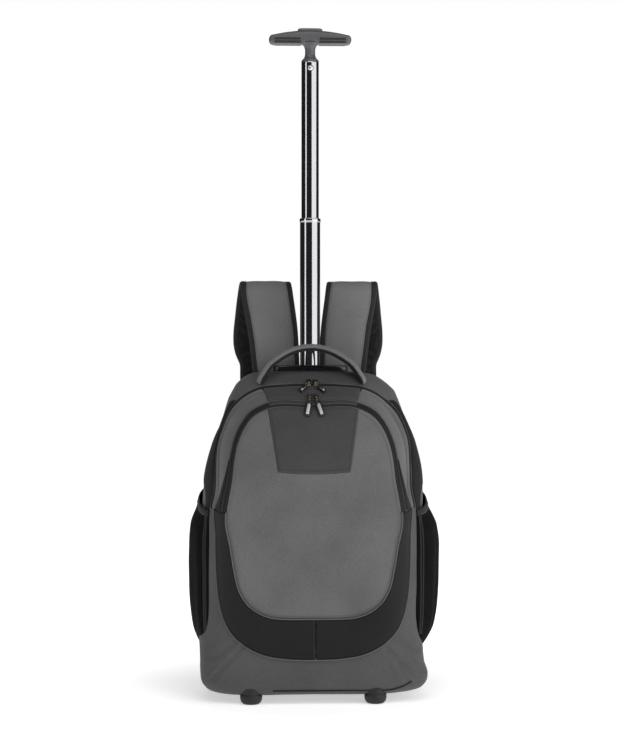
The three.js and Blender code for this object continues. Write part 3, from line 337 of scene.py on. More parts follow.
# share of half width and of height, up one side
POCKET_OUTLINE = [
    (0.000, 0.000), (0.265, 0.003), (0.530, 0.021), (0.636, 0.038), (0.755, 0.068), (0.841, 0.102),
    (0.907, 0.151), (0.950, 0.214), (0.977, 0.326), (0.987, 0.477), (1.000, 0.552), (0.967, 0.611),
    (0.960, 0.718), (0.957, 0.762), (0.937, 0.810), (0.891, 0.857), (0.815, 0.910), (0.715, 0.951),
    (0.580, 0.981), (0.265, 0.998), (0.000, 1.000),
]
FACE_OUTLINE = [
    (0.000, 0.000), (0.180, 0.000), (0.340, 0.001), (0.470, 0.006), (0.621, 0.028), (0.765, 0.074),
    (0.845, 0.129), (0.906, 0.230), (0.945, 0.334), (1.000, 0.476), (0.973, 0.562), (0.936, 0.647),
    (0.909, 0.748), (0.871, 0.826), (0.792, 0.905), (0.697, 0.956), (0.530, 0.994), (0.000, 1.000),
]
# share of the face's height and of its lean
FACE_PROFILE = [(0.00, 0.03), (0.21, 0.0), (0.49, 0.0), (0.65, 0.12), (0.78, 0.30), (0.90, 0.61), (1.0, 1.0)]


def reach_function(table, half, bottom, height):
    """The distance from the pocket's middle to a mirrored outline, as a function of the angle."""
    right = [(x * half, bottom + z * height) for x, z in table]
    left = [(-x, z) for x, z in reversed(right[1:-1])]
    outline = closed_curve(right + left, 720) - np.array([0.0, MIDDLE_Z])
    angles = np.arctan2(outline[:, 1], outline[:, 0])
    order = np.argsort(angles)
    angles, reaches = angles[order], np.linalg.norm(outline, axis=1)[order]
    window = np.hanning(9) / np.hanning(9).sum()
    wrapped = np.concatenate([reaches[-4:], reaches, reaches[:4]])
    reaches = np.convolve(wrapped, window, mode="valid")

    def at(angle):
        turned = (angle + math.pi) % (2 * math.pi) - math.pi
        return float(np.interp(turned, angles, reaches, period=2 * math.pi))
    return at


pocket_reach = reach_function(POCKET_OUTLINE, POCKET_HALF, POCKET_BOTTOM, POCKET_HEIGHT)
face_reach = reach_function(FACE_OUTLINE, FACE_HALF, FACE_BOTTOM, FACE_HEIGHT)
face_lean = cubic_through([row[0] for row in FACE_PROFILE], [row[1] for row in FACE_PROFILE])
gusset_fall = cubic_through([0, 0.08, 0.35, 0.70, 1.0], [0, 0.03, 0.20, 0.52, 1.0])


def face_depth(angle, share):
    """The depth of the pale face at an angle and a share of the way to its edge."""
    z = MIDDLE_Z + face_reach(angle) * share * math.sin(angle)
    lean = face_lean((z - FACE_BOTTOM) / FACE_HEIGHT)
    return FRONT_Y + FACE_LEAN * lean + FACE_CROWN * (0.6 * share ** 2 + 0.4 * share ** 4)


def front_point(angle, reach):
    """A point on the front of the dressed bag, by its angle and reach round the pocket's middle."""
    inner, outer = face_reach(angle), pocket_reach(angle)
    if reach <= 1:
        radius = inner * reach
        y = face_depth(angle, reach)
    elif reach <= 2:
        radius = inner + (outer - inner) * (reach - 1)
        low = bag_front(outer * math.cos(angle), MIDDLE_Z + outer * math.sin(angle))
        edge = face_depth(angle, 1)
        y = edge + (low - edge) * gusset_fall(reach - 1)
    else:
        radius = outer + (reach - 2) * REACH_STEP
        y = bag_front(radius * math.cos(angle), MIDDLE_Z + radius * math.sin(angle))
    return Vector((radius * math.cos(angle), y, MIDDLE_Z + radius * math.sin(angle)))


def front_normal(angle, reach):
    """The outward direction of the cloth at a place on the front."""
    step = 0.01
    along = front_point(angle + step, reach) - front_point(angle - step, reach)
    out = front_point(angle, reach + step) - front_point(angle, max(reach - step, 0.0))
    normal = along.cross(out)
    normal.normalize()
    return normal if normal.y < 0 else -normal


print("face edge at the side:", round(face_reach(0.0), 4), "pocket edge:", round(pocket_reach(0.0), 4))

# %% [markdown]
# ## Cloth finishes
# The bag is made of solution-dyed polyester, woven from heathered yarn: the thread is dyed before it is
# woven, and light and dark fibres lie side by side, so that the grey is never quite even. A woven cloth
# scatters light softly, has a faint sheen at grazing angles and shows a fine cross grain. The real threads
# are a third of a millimetre apart, finer than a pixel here, so the weave is drawn at about one and a half
# millimetres, the finest that still shows. Over this, soft patches a few centimetres across are painted
# lighter and darker: painted shade for the shading of the slack cloth.

# %% Cloth materials
def new_material(name):
    """An empty material with its principled shader, its output and its object coordinates."""
    material = bpy.data.materials.new(name)
    material.use_nodes = True
    tree = material.node_tree
    tree.nodes.clear()
    shader = add_node(tree, "ShaderNodeBsdfPrincipled")
    add_node(tree, "ShaderNodeOutputMaterial", {"Surface": shader.outputs["BSDF"]})
    place = add_node(tree, "ShaderNodeTexCoord").outputs["Object"]
    return material, tree, shader, place


def wave(tree, place, axis, pitch_mm, distortion=0.6):
    """A band pattern of a real pitch along one axis, as a value from 0 to 1."""
    scale = 2 * math.pi / (20 * pitch_mm * MM)
    return add_node(
        tree, "ShaderNodeTexWave",
        {"Vector": place, "Scale": scale, "Distortion": distortion, "Detail": 1.0, "Detail Scale": 1.5},
        bands_direction=axis).outputs["Fac"]


def woven(name, colour, fleck, thread_mm=1.5, roughness=0.88, sheen=0.10, relief=0.22, patchy_painted_shade=0.10):
    """Heathered woven polyester: flecked yarn, a cross grain and soft patches of painted shade for slack
    cloth.
    """
    material, tree, shader, place = new_material(name)
    warp = wave(tree, place, "X", thread_mm)
    weft = wave(tree, place, "Z", thread_mm)
    grain = add_node(tree, "ShaderNodeMath", {0: warp, 1: weft}, operation="MULTIPLY").outputs[0]
    stretched = add_node(
        tree, "ShaderNodeMapping", {"Vector": place, "Scale": (1.0, 1.0, 0.6)}).outputs[0]
    yarn = add_node(
        tree, "ShaderNodeTexNoise", {"Vector": stretched, "Scale": 560.0, "Detail": 3.0, "Roughness": 0.7},
    ).outputs["Fac"]
    cloud = add_node(
        tree, "ShaderNodeTexNoise", {"Vector": place, "Scale": 12.0, "Detail": 2.0}).outputs["Fac"]
    spread = add_node(
        tree, "ShaderNodeMapRange",
        {"Value": yarn, "From Min": 0.28, "From Max": 0.72}).outputs[0]
    flecked = add_node(
        tree, "ShaderNodeMix", {"Factor": spread, 6: linear(colour), 7: linear(fleck)}, data_type="RGBA",
    ).outputs[2]
    # Soft patches of painted shade, darker and lighter and a few centimetres across, stand in for the shading
    # of slack cloth.
    shade = add_node(
        tree, "ShaderNodeMapRange",
        {"Value": cloud, "From Min": 0.3, "From Max": 0.7, "To Min": 1 - patchy_painted_shade, "To Max": 1 + patchy_painted_shade},
    ).outputs[0]
    tinted = add_node(
        tree, "ShaderNodeVectorMath", {0: flecked, "Scale": shade}, operation="SCALE").outputs[0]
    height = add_node(tree, "ShaderNodeMath", {0: grain, 1: yarn}, operation="ADD").outputs[0]
    bump = add_node(
        tree, "ShaderNodeBump", {"Height": height, "Strength": relief, "Distance": 0.4 * MM}).outputs[0]
    feed(tree, shader, {
        "Base Color": tinted, "Normal": bump, "Roughness": roughness, "Specular IOR Level": 0.2,
        "Sheen Weight": sheen, "Sheen Roughness": 0.5})
    return material


# The pale face gets the strongest patches of painted shade.
PALE_CLOTH = woven("heathered_polyester_pale", "#555556", "#636364", patchy_painted_shade=0.14)
GREY_CLOTH = woven("heathered_polyester_grey", "#464647", "#525253")
DARK_CLOTH = woven("plain_polyester_dark", "#393939", "#424243", sheen=0.06)
BLACK_CLOTH = woven("plain_polyester_black", "#171718", "#1d1d1e", roughness=0.85, sheen=0.03)
STRAP_CLOTH = woven("heathered_polyester_strap", "#616162", "#707071")
print("cloth materials:", [m.name for m in bpy.data.materials if "polyester" in m.name])

# %% [markdown]
# ## Tapes, nets and cords
# Zip tape, binding and webbing are narrow weaves with ribs across them, their grooves darkened with painted
# shade. The side pockets and the lining of the straps are knitted net: a honeycomb of fine threads round
# small holes that are painted near black, painted shade for the dark seen through them.

# %% Trim materials
def ribbed(name, colour, rib_mm=1.6, axis="Z", roughness=0.7):
    """Narrow woven tape with ribs across it, the grooves between the ribs painted darker as painted shade."""
    material, tree, shader, place = new_material(name)
    ribs = wave(tree, place, axis, rib_mm, 0.2)
    speck = add_node(tree, "ShaderNodeTexNoise", {"Vector": place, "Scale": 700.0}).outputs["Fac"]
    height = add_node(tree, "ShaderNodeMath", {0: ribs, 1: speck}, operation="ADD").outputs[0]
    bump = add_node(
        tree, "ShaderNodeBump", {"Height": height, "Strength": 0.35, "Distance": 0.4 * MM}).outputs[0]
    # The colour follows the rib height: painted shade darkens the grooves, and a random speck lies on top.
    shade = add_node(
        tree, "ShaderNodeMapRange", {"Value": height, "From Max": 2.0, "To Min": 0.7, "To Max": 1.25},
    ).outputs[0]
    tinted = add_node(
        tree, "ShaderNodeVectorMath", {0: linear(colour)[:3], "Scale": shade}, operation="SCALE").outputs[0]
    feed(tree, shader, {
        "Base Color": tinted, "Normal": bump, "Roughness": roughness, "Specular IOR Level": 0.25,
        "Sheen Weight": 0.05})
    return material


def netted(name, thread, hole, cell_mm=2.6):
    """Knitted net: light threads round small holes painted dark, painted shade for the dark seen through
    them.
    """
    material, tree, shader, place = new_material(name)
    cells = add_node(
        tree, "ShaderNodeTexVoronoi",
        {"Vector": place, "Scale": 1 / (cell_mm * MM), "Randomness": 0.25}, feature="DISTANCE_TO_EDGE",
    ).outputs["Distance"]
    opening = add_node(
        tree, "ShaderNodeMapRange", {"Value": cells, "From Min": 0.10, "From Max": 0.24}).outputs[0]
    # The holes are painted near black: painted shade, since the net is a closed skin with no real holes.
    mixed = add_node(
        tree, "ShaderNodeMix", {"Factor": opening, 6: linear(thread), 7: linear(hole)}, data_type="RGBA",
    ).outputs[2]
    bump = add_node(
        tree, "ShaderNodeBump", {"Height": opening, "Strength": 0.5, "Distance": -0.5 * MM}).outputs[0]
    feed(tree, shader, {
        "Base Color": mixed, "Normal": bump, "Roughness": 0.75, "Specular IOR Level": 0.06})
    return material


ZIP_TAPE = ribbed("zip_tape_black", "#161617", 1.4, "Z")
BINDING = ribbed("grosgrain_binding", "#1c1c1d", 1.5, "Z")
WEBBING = ribbed("nylon_webbing", "#1a1a1b", 2.0, "Z", 0.6)
PIPING = ribbed("piping_cord_grey", "#565657", 1.2, "X")
NET = netted("knitted_net_black", "#0f0f10", "#030304")
LINING = netted("spacer_mesh_lining", "#262627", "#0b0b0c", 3.2)
THREAD = ribbed("sewing_thread_grey", "#5c5c5d", 0.8, "X")
DARK_THREAD = ribbed("sewing_thread_black", "#2a2a2b", 0.8, "X")
print("trim materials ready")

# %% [markdown]
# ## Sheets, strips and tubes
# Nearly all that is sewn on the bag follows a line of its surface: panels fill the space between two
# lines, bindings and piping run along one. One function builds a thin closed pad over a grid of places, and
# one sweeps a round or flat section along a line.

# %% Build pads and sweeps
def pad_grid(name, grid, normals, thickness, material, edge=2):
    """A thin closed pad on a grid of points, its rim rolled down to the cloth it lies on."""
    rows, columns, points = len(grid), len(grid[0]), []
    for r in range(rows):
        for c in range(columns):
            inside = min(r, c, rows - 1 - r, columns - 1 - c)
            lift = math.sin(min(inside / edge, 1.0) * math.pi / 2) ** 0.6 if inside < edge else 1.0
            points.append(grid[r][c] + normals[r][c] * (thickness * lift))
    for row, row_normals in zip(grid, normals):
        points.extend(place - normal * (0.2 * MM) for place, normal in zip(row, row_normals))
    return mesh_object(name, points, shell_faces(rows, columns), material)


def strip_on_front(name, angles, inner, outer, thickness, material, across=6, edge=1, lift=0.0):
    """A pad on the bag's front between two reaches, which may be numbers or functions of the angle."""
    grid, normals = [], []
    for angle in angles:
        low = inner(angle) if callable(inner) else inner
        high = outer(angle) if callable(outer) else outer
        reaches = np.linspace(low, high, across + 1)
        normals.append([front_normal(angle, q) for q in reaches])
        grid.append([front_point(angle, q) + n * lift for q, n in zip(reaches, normals[-1])])
    return pad_grid(name, grid, normals, thickness, material, edge)


def sweep(name, line, material, width, depth=None, ups=None, sides=12, power=2.0, closed=False):
    """A bar of rounded section along a line of points; ups give the direction of its depth."""
    depth = width if depth is None else depth
    count, points, up = len(line), [], Vector((0, -1, 0))
    for i, point in enumerate(line):
        before = line[i - 1] if i > 0 or closed else line[i]
        after = line[(i + 1) % count] if i < count - 1 or closed else line[i]
        along = (after - before).normalized()
        up = (ups[i] if ups else up).copy()
        up = (up - along * up.dot(along)).normalized()
        side = along.cross(up)
        for k in range(sides):
            turn = 2 * math.pi * k / sides
            u = math.copysign(abs(math.cos(turn)) ** (2 / power), math.cos(turn)) * width / 2
            v = math.copysign(abs(math.sin(turn)) ** (2 / power), math.sin(turn)) * depth / 2
            points.append(point + side * u + up * v)
    return mesh_object(name, points, ring_faces(count, sides, closed), material)


def front_line(angles, reach, lift):
    """A line on the bag's front at one reach, lifted off the cloth, with the directions away from it."""
    reaches = [reach(a) if callable(reach) else reach for a in angles]
    ups = [front_normal(a, q) for a, q in zip(angles, reaches)]
    return [front_point(a, q) + n * lift for a, q, n in zip(angles, reaches, ups)], ups


def outside_face(distance):
    """The reach that lies a distance outside the pale face's edge, as a function of the angle."""
    return lambda angle: 1 + distance / (pocket_reach(angle) - face_reach(angle))


def outside_pocket(distance):
    """The reach that lies a distance outside the pocket's edge."""
    return 2 + distance / REACH_STEP


print("sweeping tools ready")

# %% [markdown]
# ## The main compartment
# The big bag is sewn from a front, a back, two sides and a base of one grey cloth. It could be modelled flat
# and sewn up by simulation, but its stuffed shape is known, so it is lofted through its sections, and the
# cloth's slackness is put on top as small moves along the surface: a soft waviness all over, the diagonal
# folds where the base is gathered at its corners, and the creases above the right foot.

# %% Rings of the bag and the places on them
def ring_point(z, turn):
    """A point on the bag's section at a height; the turn is 0 at the right side, -90 degrees in front."""
    half, front, back = section(z)
    power = 2 / (front_power(z) if math.sin(turn) < 0 else BACK_POWER)
    x = half * math.copysign(abs(math.cos(turn)) ** power, math.cos(turn))
    y = (front + back) / 2 + (back - front) / 2 * math.copysign(abs(math.sin(turn)) ** power, math.sin(turn))
    return Vector((x, y, z))


def turn_at_x(z, x):
    """The turn at which the front half of the bag's section reaches a place across."""
    return -math.acos(min(abs(x) / section(z)[0], 1.0) ** (front_power(z) / 2))


def turn_at_y(z, y):
    """The turn at which the section's side reaches a depth, in front of its middle or behind it."""
    _, front, back = section(z)
    share = (y - (front + back) / 2) / ((back - front) / 2)
    power = front_power(z) if share < 0 else BACK_POWER
    return math.copysign(math.asin(min(abs(share), 1.0) ** (power / 2)), share)


def ring_normal(z, turn):
    """The outward direction at a place on a section."""
    along = ring_point(z, turn + 0.004) - ring_point(z, turn - 0.004)
    up = ring_point(min(z + 0.002, BOTTOM + HEIGHT), turn) - ring_point(max(z - 0.002, BOTTOM), turn)
    normal = along.cross(up).normalized()
    radial = ring_point(z, turn) - Vector((0, sum(section(z)[1:]) / 2, z))
    return normal if normal.dot(radial) > 0 else -normal


def even_turns(z, count):
    """Turns that are evenly spaced along a section's outline, from the front middle all the way round."""
    turns = np.linspace(-math.pi / 2, 1.5 * math.pi, 721)
    ring = np.array([ring_point(z, t) for t in turns])
    lengths = np.concatenate([[0], np.cumsum(np.linalg.norm(np.diff(ring, axis=0), axis=1))])
    return np.interp(np.linspace(0, lengths[-1], count, endpoint=False), lengths, turns)


# %% Slackness of the cloth
# Each crease is a line of places across and up, its depth and its half width, all in millimetres.
CREASES = [
    ([(118, 104), (138, 92), (152, 84), (160, 80)], 2.6, 4.5),
    ([(112, 82), (124, 70), (136, 56), (148, 44), (160, 34)], 2.4, 5.0),
    ([(150, 66), (158, 56), (163, 46)], 2.0, 4.0),
    ([(128, 60), (134, 46), (146, 34)], 1.6, 4.0),
    ([(-104, 92), (-122, 74), (-140, 55), (-152, 40)], 2.0, 3.5),
    ([(-120, 96), (-140, 80), (-156, 70)], 1.4, 5.0),
]


def distance_to_line(x, z, line):
    """The distance from a place to a line of places, all in millimetres."""
    nearest = 1e9
    for (ax, az), (bx, bz) in zip(line, line[1:]):
        dx, dz = bx - ax, bz - az
        share = min(max(((x - ax) * dx + (z - az) * dz) / (dx * dx + dz * dz), 0.0), 1.0)
        nearest = min(nearest, math.hypot(x - ax - share * dx, z - az - share * dz))
    return nearest


def slack(point):
    """How far slack cloth stands off the smooth form at a point: waves all over, creases near the base."""
    wave_height = 0.9 * MM * noise.noise(point * 11.0) + 0.4 * MM * noise.noise(point * 27.0)
    if point.y > 0 or point.z > 0.14:
        return wave_height
    x, z = point.x / MM, point.z / MM
    for line, depth, half_width in CREASES:
        away = distance_to_line(x, z, line) / half_width
        wave_height += depth * MM * (0.55 * math.exp(-((away - 1.6) ** 2)) - math.exp(-away * away))
    return wave_height


def lofted(name, heights, around, material):
    """A closed skin through the bag's sections."""
    points, rows = [], len(heights)
    for z in heights:
        for turn in even_turns(z, around):
            place = ring_point(z, turn)
            points.append(place + ring_normal(z, turn) * slack(place))
    faces = ring_faces(rows, around, caps=False)
    faces += [tuple(reversed(range(around))), tuple(range((rows - 1) * around, rows * around))]
    return mesh_object(name, points, faces, material)


shares = 0.5 - 0.5 * np.cos(np.linspace(0.0, math.pi, 150))
bag_heights = [BOTTOM + HEIGHT * 0.999 * s for s in shares]
bag = dress(lofted("main_bag", bag_heights, 260, GREY_CLOTH), "root", "grey_cloth", "main_compartment")

# %% [markdown]
# ## The front pocket
# The pocket's face is one piece of pale heathered cloth over a thin foam sheet, so it bulges evenly and
# hangs in long shallow folds rather than small ones. Its gusset is the same cloth, seen as the narrow
# band between the two arched zips. Both are made on the same rings round the pocket's middle.

# %% Face and gusset of the pocket
FACE_WAVES = [(-0.055, 0.30, 0.05, 0.9), (0.075, 0.22, 0.06, 0.8), (-0.02, 0.18, 0.09, 0.6)]


def face_slack(point):
    """Long soft folds on the pocket's face: broad hollows that lean with the pull of the seams."""
    height = 1.0 * MM * noise.noise(Vector((point.x * 9, 3.1, point.z * 5)))
    height += 0.35 * MM * noise.noise(Vector((point.x * 24, 7.7, point.z * 13)))
    for x, z, spread, depth in FACE_WAVES:
        lean = point.x - x - 0.25 * (point.z - z)
        height -= depth * MM * math.exp(-(lean / spread) ** 2 * 9 - ((point.z - z) / 0.09) ** 2)
    return height


def face_move(place, reach):
    """The face's slackness, less towards its sewn edge."""
    return face_slack(place) * (1 - reach ** 6)


def gusset_move(place, reach):
    """The gusset's slackness, none at its two seams."""
    return 0.5 * MM * noise.noise(place * 22) * math.sin(math.pi * (reach - 1))


def ringed(name, reaches, around, material, move, ends):
    """A skin on the bag's front over rings of reaches, with a straight wall back at its rim."""
    angles = np.linspace(0, 2 * math.pi, around, endpoint=False)
    points = []
    for reach in reaches:
        for angle in angles:
            place = front_point(angle, reach)
            normal = front_normal(angle, min(max(reach, 0.02), 1.99))
            points.append(place + normal * move(place, reach))
    faces = ring_faces(len(reaches), around, caps=False)
    for row in ends:
        rim = points[row * around:(row + 1) * around]
        start = len(points)
        points.extend(p + Vector((0, 6 * MM, 0)) for p in rim)
        for c in range(around):
            a, b = row * around + c, row * around + (c + 1) % around
            faces.append((a, b, start + (c + 1) % around, start + c))
    return mesh_object(name, points, faces, material)


face_reaches = [0.004] + list(np.linspace(0.03, 1.0, 64))
face = ringed("pocket_face", face_reaches, 240, PALE_CLOTH, face_move, [len(face_reaches) - 1])
dress(face, "root", "pale_cloth", "front_pocket")
gusset_reaches = list(np.linspace(1.0, 2.0, 26))
gusset = ringed("pocket_gusset", gusset_reaches, 240, PALE_CLOTH, gusset_move, [0, len(gusset_reaches) - 1])
dress(gusset, "root", "pale_cloth")

# %% [markdown]
# ## The black lower panel
# A U of plain black cloth guards the pocket's foot and runs up its two sides until the zip starts. It is
# cut in two halves with a seam down its middle, and piping is sewn into its inner and outer edges, the
# pale lines that draw the shape in the photograph.

# %% Lower panel, its seam and its piping
LIMB_TOP = 0.297
SEAM_GAP = 0.6 * MM


def angle_at_height(z, side, reach_of=pocket_reach):
    """The angle at which an outline round the pocket's middle passes a height, on one side."""
    low, high = (-math.pi / 2, math.pi / 2) if side > 0 else (-math.pi / 2, -3 * math.pi / 2)
    for _ in range(40):
        middle = (low + high) / 2
        if MIDDLE_Z + reach_of(middle) * math.sin(middle) < z:
            low = middle
        else:
            high = middle
    return (low + high) / 2


limb_right = angle_at_height(LIMB_TOP, 1)
limb_left = angle_at_height(LIMB_TOP, -1)
low_angles = np.linspace(limb_left, limb_right, 200)
for name, part in (("left", low_angles[:101]), ("right", low_angles[100:])):
    strip = strip_on_front(
        f"lower_panel_{name}", part, outside_face(0.5 * MM), 1.995, 1.5 * MM, BLACK_CLOTH, 16, 1)
    dress(strip, "root", "black_cloth", *(["lower_panel"] if name == "left" else []))

PIPING_SIZE = 2.2 * MM
for name, reach in (("inner", outside_face(0.6 * MM)), ("outer", 1.99)):
    line, ups = front_line(low_angles, reach, 1.6 * MM)
    dress(sweep(f"panel_piping_{name}", line, PIPING, PIPING_SIZE, ups=ups, sides=8), "root", "pale_cloth")
middle_line, middle_ups = [], []
for reach in np.linspace(1.06, 1.98, 24):
    middle_line.append(front_point(-math.pi / 2, reach) + front_normal(-math.pi / 2, reach) * 1.3 * MM)
    middle_ups.append(front_normal(-math.pi / 2, reach))
seam = sweep("panel_middle_seam", middle_line, BINDING, 2.4 * MM, 1.2 * MM, middle_ups, 8)
dress(seam, "root", "black_cloth")

# %% [markdown]
# ## The two arched zips
# Each zip is a black woven tape with a row of moulded coil teeth down its middle. The teeth repeat a few
# hundred times along a curve, which is a job for Geometry Nodes: a tree puts one small tooth on each point
# of a line and turns it to the line and to the cloth below.

# %% A tree that repeats a small shape along a line
def repeat_along(name, line, ups, shape, pitch, size, material):
    """Copies of a small shape along a line, turned to it and away from the cloth, as one plain mesh."""
    mesh = bpy.data.meshes.new(name)
    mesh.from_pydata([tuple(p) for p in line], [(i, i + 1) for i in range(len(line) - 1)], [])
    up_values = mesh.attributes.new("up", "FLOAT_VECTOR", "POINT")
    up_values.data.foreach_set("vector", [v for up in ups for v in up])
    made = bpy.data.objects.new(name, mesh)
    bpy.context.scene.collection.objects.link(made)

    tree = bpy.data.node_groups.new(name, "GeometryNodeTree")
    sockets = {}
    for label, kind in (
            ("Line", "NodeSocketGeometry"), ("Pitch", "NodeSocketFloat"), ("Size", "NodeSocketFloat"),
            ("Shape", "NodeSocketObject"), ("Material", "NodeSocketMaterial")):
        sockets[label] = tree.interface.new_socket(label, in_out="INPUT", socket_type=kind).identifier
    tree.interface.new_socket("Geometry", in_out="OUTPUT", socket_type="NodeSocketGeometry")
    given = add_node(tree, "NodeGroupInput").outputs
    curve = add_node(tree, "GeometryNodeMeshToCurve", {"Mesh": given["Line"]}).outputs[0]
    spaced = add_node(
        tree, "GeometryNodeResampleCurve", {"Curve": curve, "Length": given["Pitch"]}, mode="LENGTH",
    ).outputs[0]
    up = add_node(
        tree, "GeometryNodeInputNamedAttribute", {"Name": "up"}, data_type="FLOAT_VECTOR").outputs[0]
    tangent = add_node(tree, "GeometryNodeInputTangent").outputs[0]
    turn = add_node(
        tree, "FunctionNodeAxesToRotation", {"Primary Axis": up, "Secondary Axis": tangent},
        primary_axis="Z", secondary_axis="X").outputs[0]
    single = add_node(tree, "GeometryNodeObjectInfo", {"Object": given["Shape"]}).outputs["Geometry"]
    copies = add_node(
        tree, "GeometryNodeInstanceOnPoints",
        {"Points": spaced, "Instance": single, "Rotation": turn, "Scale": given["Size"]}).outputs[0]
    real = add_node(tree, "GeometryNodeRealizeInstances", {"Geometry": copies}).outputs[0]
    finished = add_node(
        tree, "GeometryNodeSetMaterial", {"Geometry": real, "Material": given["Material"]}).outputs[0]
    add_node(tree, "NodeGroupOutput", {"Geometry": finished})

    modifier = made.modifiers.new("repeat", "NODES")
    modifier.node_group = tree
    for label, value in (("Pitch", pitch), ("Size", size), ("Shape", shape), ("Material", material)):
        modifier[sockets[label]] = value
    made.update_tag()
    bpy.context.view_layer.update()
    plain = apply_modifiers(made)
    if not plain.materials:
        plain.materials.append(material)
    shade_smooth(plain)
    return made


def small_bar(name, length, width, height, rings=3, sides=6):
    """A short bar with rounded ends, along X and lying on the cloth, kept out of the scene itself."""
    points = []
    for r in range(rings + 1):
        share = r / rings
        swell = math.sin(math.pi * (0.12 + 0.76 * share)) ** 0.5
        for k in range(sides):
            turn = 2 * math.pi * k / sides
            points.append((
                (share - 0.5) * length, math.cos(turn) * width / 2 * swell,
                height / 2 * (1 + math.sin(turn) * swell)))
    return bpy.data.objects.new(name, outward_mesh(name, points, ring_faces(rings + 1, sides)))


TOOTH = small_bar("zip_tooth", 1.1 * MM, 3.4 * MM, 1.3 * MM)
STITCH = small_bar("stitch", 2.4 * MM, 0.7 * MM, 0.6 * MM)
print("small shapes:", TOOTH.name, STITCH.name)

# %% Tapes and teeth of the zips
FRONT_ZIP_WIDTH, MAIN_ZIP_WIDTH = 9 * MM, 7 * MM
high_angles = np.linspace(limb_right, 2 * math.pi + limb_left, 300)
front_tape = strip_on_front(
    "front_zip_tape", high_angles, outside_face(SEAM_GAP), outside_face(SEAM_GAP + FRONT_ZIP_WIDTH),
    1.3 * MM, ZIP_TAPE, 6)
dress(front_tape, "root", "black_trim", "front_zip")
main_tape = strip_on_front(
    "main_zip_tape", high_angles, outside_pocket(SEAM_GAP), outside_pocket(SEAM_GAP + MAIN_ZIP_WIDTH),
    1.3 * MM, ZIP_TAPE, 6)
dress(main_tape, "root", "black_trim", "main_zip")
front_teeth_line = front_line(high_angles, outside_face(SEAM_GAP + FRONT_ZIP_WIDTH / 2), 1.0 * MM)
main_teeth_line = front_line(high_angles, outside_pocket(SEAM_GAP + MAIN_ZIP_WIDTH / 2), 1.0 * MM)
for name, (line, ups) in (("front", front_teeth_line), ("main", main_teeth_line)):
    teeth = repeat_along(f"{name}_zip_teeth", line, ups, TOOTH, 1.9 * MM, 1.0, ZIP_TAPE)
    dress(teeth, "root", "black_trim")

# %% Flaps that half cover the zips
# Cloth flaps hide the inner half of the main zip, and at the top, between the dark panels, both zips run
# under dark flaps that leave only a thin line of tape on each side.
TOP_HALF = 77 * MM
ARCH_RISE = POCKET_BOTTOM + POCKET_HEIGHT - MIDDLE_Z
flap_half = math.atan2(TOP_HALF, ARCH_RISE)
flap_from, flap_to = math.pi / 2 - flap_half, math.pi / 2 + flap_half
for name, start, end, cloth, slot in (
        ("right", limb_right, flap_from, PALE_CLOTH, "pale_cloth"),
        ("middle", flap_from, flap_to, DARK_CLOTH, "dark_cloth"),
        ("left", flap_to, 2 * math.pi + limb_left, PALE_CLOTH, "pale_cloth")):
    flap = strip_on_front(
        f"main_zip_flap_{name}", np.linspace(start, end, 120), outside_pocket(-0.4 * MM),
        outside_pocket(3.6 * MM), 2.0 * MM, cloth, 6)
    dress(flap, "root", slot)
flap = strip_on_front(
    "front_zip_flap", np.linspace(flap_from, flap_to, 100), outside_face(SEAM_GAP + 2.0 * MM),
    outside_face(SEAM_GAP + FRONT_ZIP_WIDTH - 2.0 * MM), 2.0 * MM, DARK_CLOTH, 6)
dress(flap, "root", "dark_cloth")

# %% Wedges where the lower panel runs out between the zips
WEDGE_TOP = 0.385
zip_side = outside_face(SEAM_GAP + FRONT_ZIP_WIDTH)


def wedge_edge(start, end):
    """The reach of a wedge's outer edge, which closes on the zip between two angles."""
    def reach(angle):
        left = 1 - (angle - start) / (end - start)
        return zip_side(angle) + 0.004 + (1.991 - zip_side(angle)) * left ** 1.25
    return reach


for name, side, start in (("left", -1, 2 * math.pi + limb_left), ("right", 1, limb_right)):
    end = angle_at_height(WEDGE_TOP, side) + (2 * math.pi if side < 0 else 0.0)
    wedge = strip_on_front(
        f"lower_panel_wedge_{name}", np.linspace(start, end, 70), zip_side, wedge_edge(start, end),
        1.3 * MM, BLACK_CLOTH, 8)
    dress(wedge, "root", "black_cloth")

# %% [markdown]
# ## The dark panels
# Three plain dark pieces lie on top of the pale ones: a panel between the two zips at the top, one behind
# the upper zip that runs back to the pole's opening, and a patch under the front zip, cut as a trapezium
# with its short edge down. They are real layers with a turned edge, so each is a thin pad a millimetre and a
# half thick whose rim rolls down to the cloth below.

# %% Front panel between the zips
top_angles = [math.atan2(1, x) for x in np.linspace(TOP_HALF, -TOP_HALF, 60) / ARCH_RISE]
between = strip_on_front(
    "top_panel_front", top_angles, outside_face(2 * SEAM_GAP + FRONT_ZIP_WIDTH), 1.97, 1.4 * MM, DARK_CLOTH,
    14, 2)
dress(between, "root", "dark_cloth", "top_panel_front")


# %% Rear panel, up to the pole's opening
def top_point(x, y):
    """The point on the bag's top where the front cloth has reached a depth."""
    low, high = MIDDLE_Z, BOTTOM + 0.9985 * HEIGHT
    for _ in range(40):
        middle = (low + high) / 2
        if bag_front(x, middle) < y:
            low = middle
        else:
            high = middle
    return Vector((x, y, (low + high) / 2))


def top_normal(x, y):
    """The outward direction on the bag's top."""
    side = top_point(x + 0.002, y) - top_point(x - 0.002, y)
    back = top_point(x, y + 0.002) - top_point(x, y - 0.002)
    return side.cross(back).normalized()


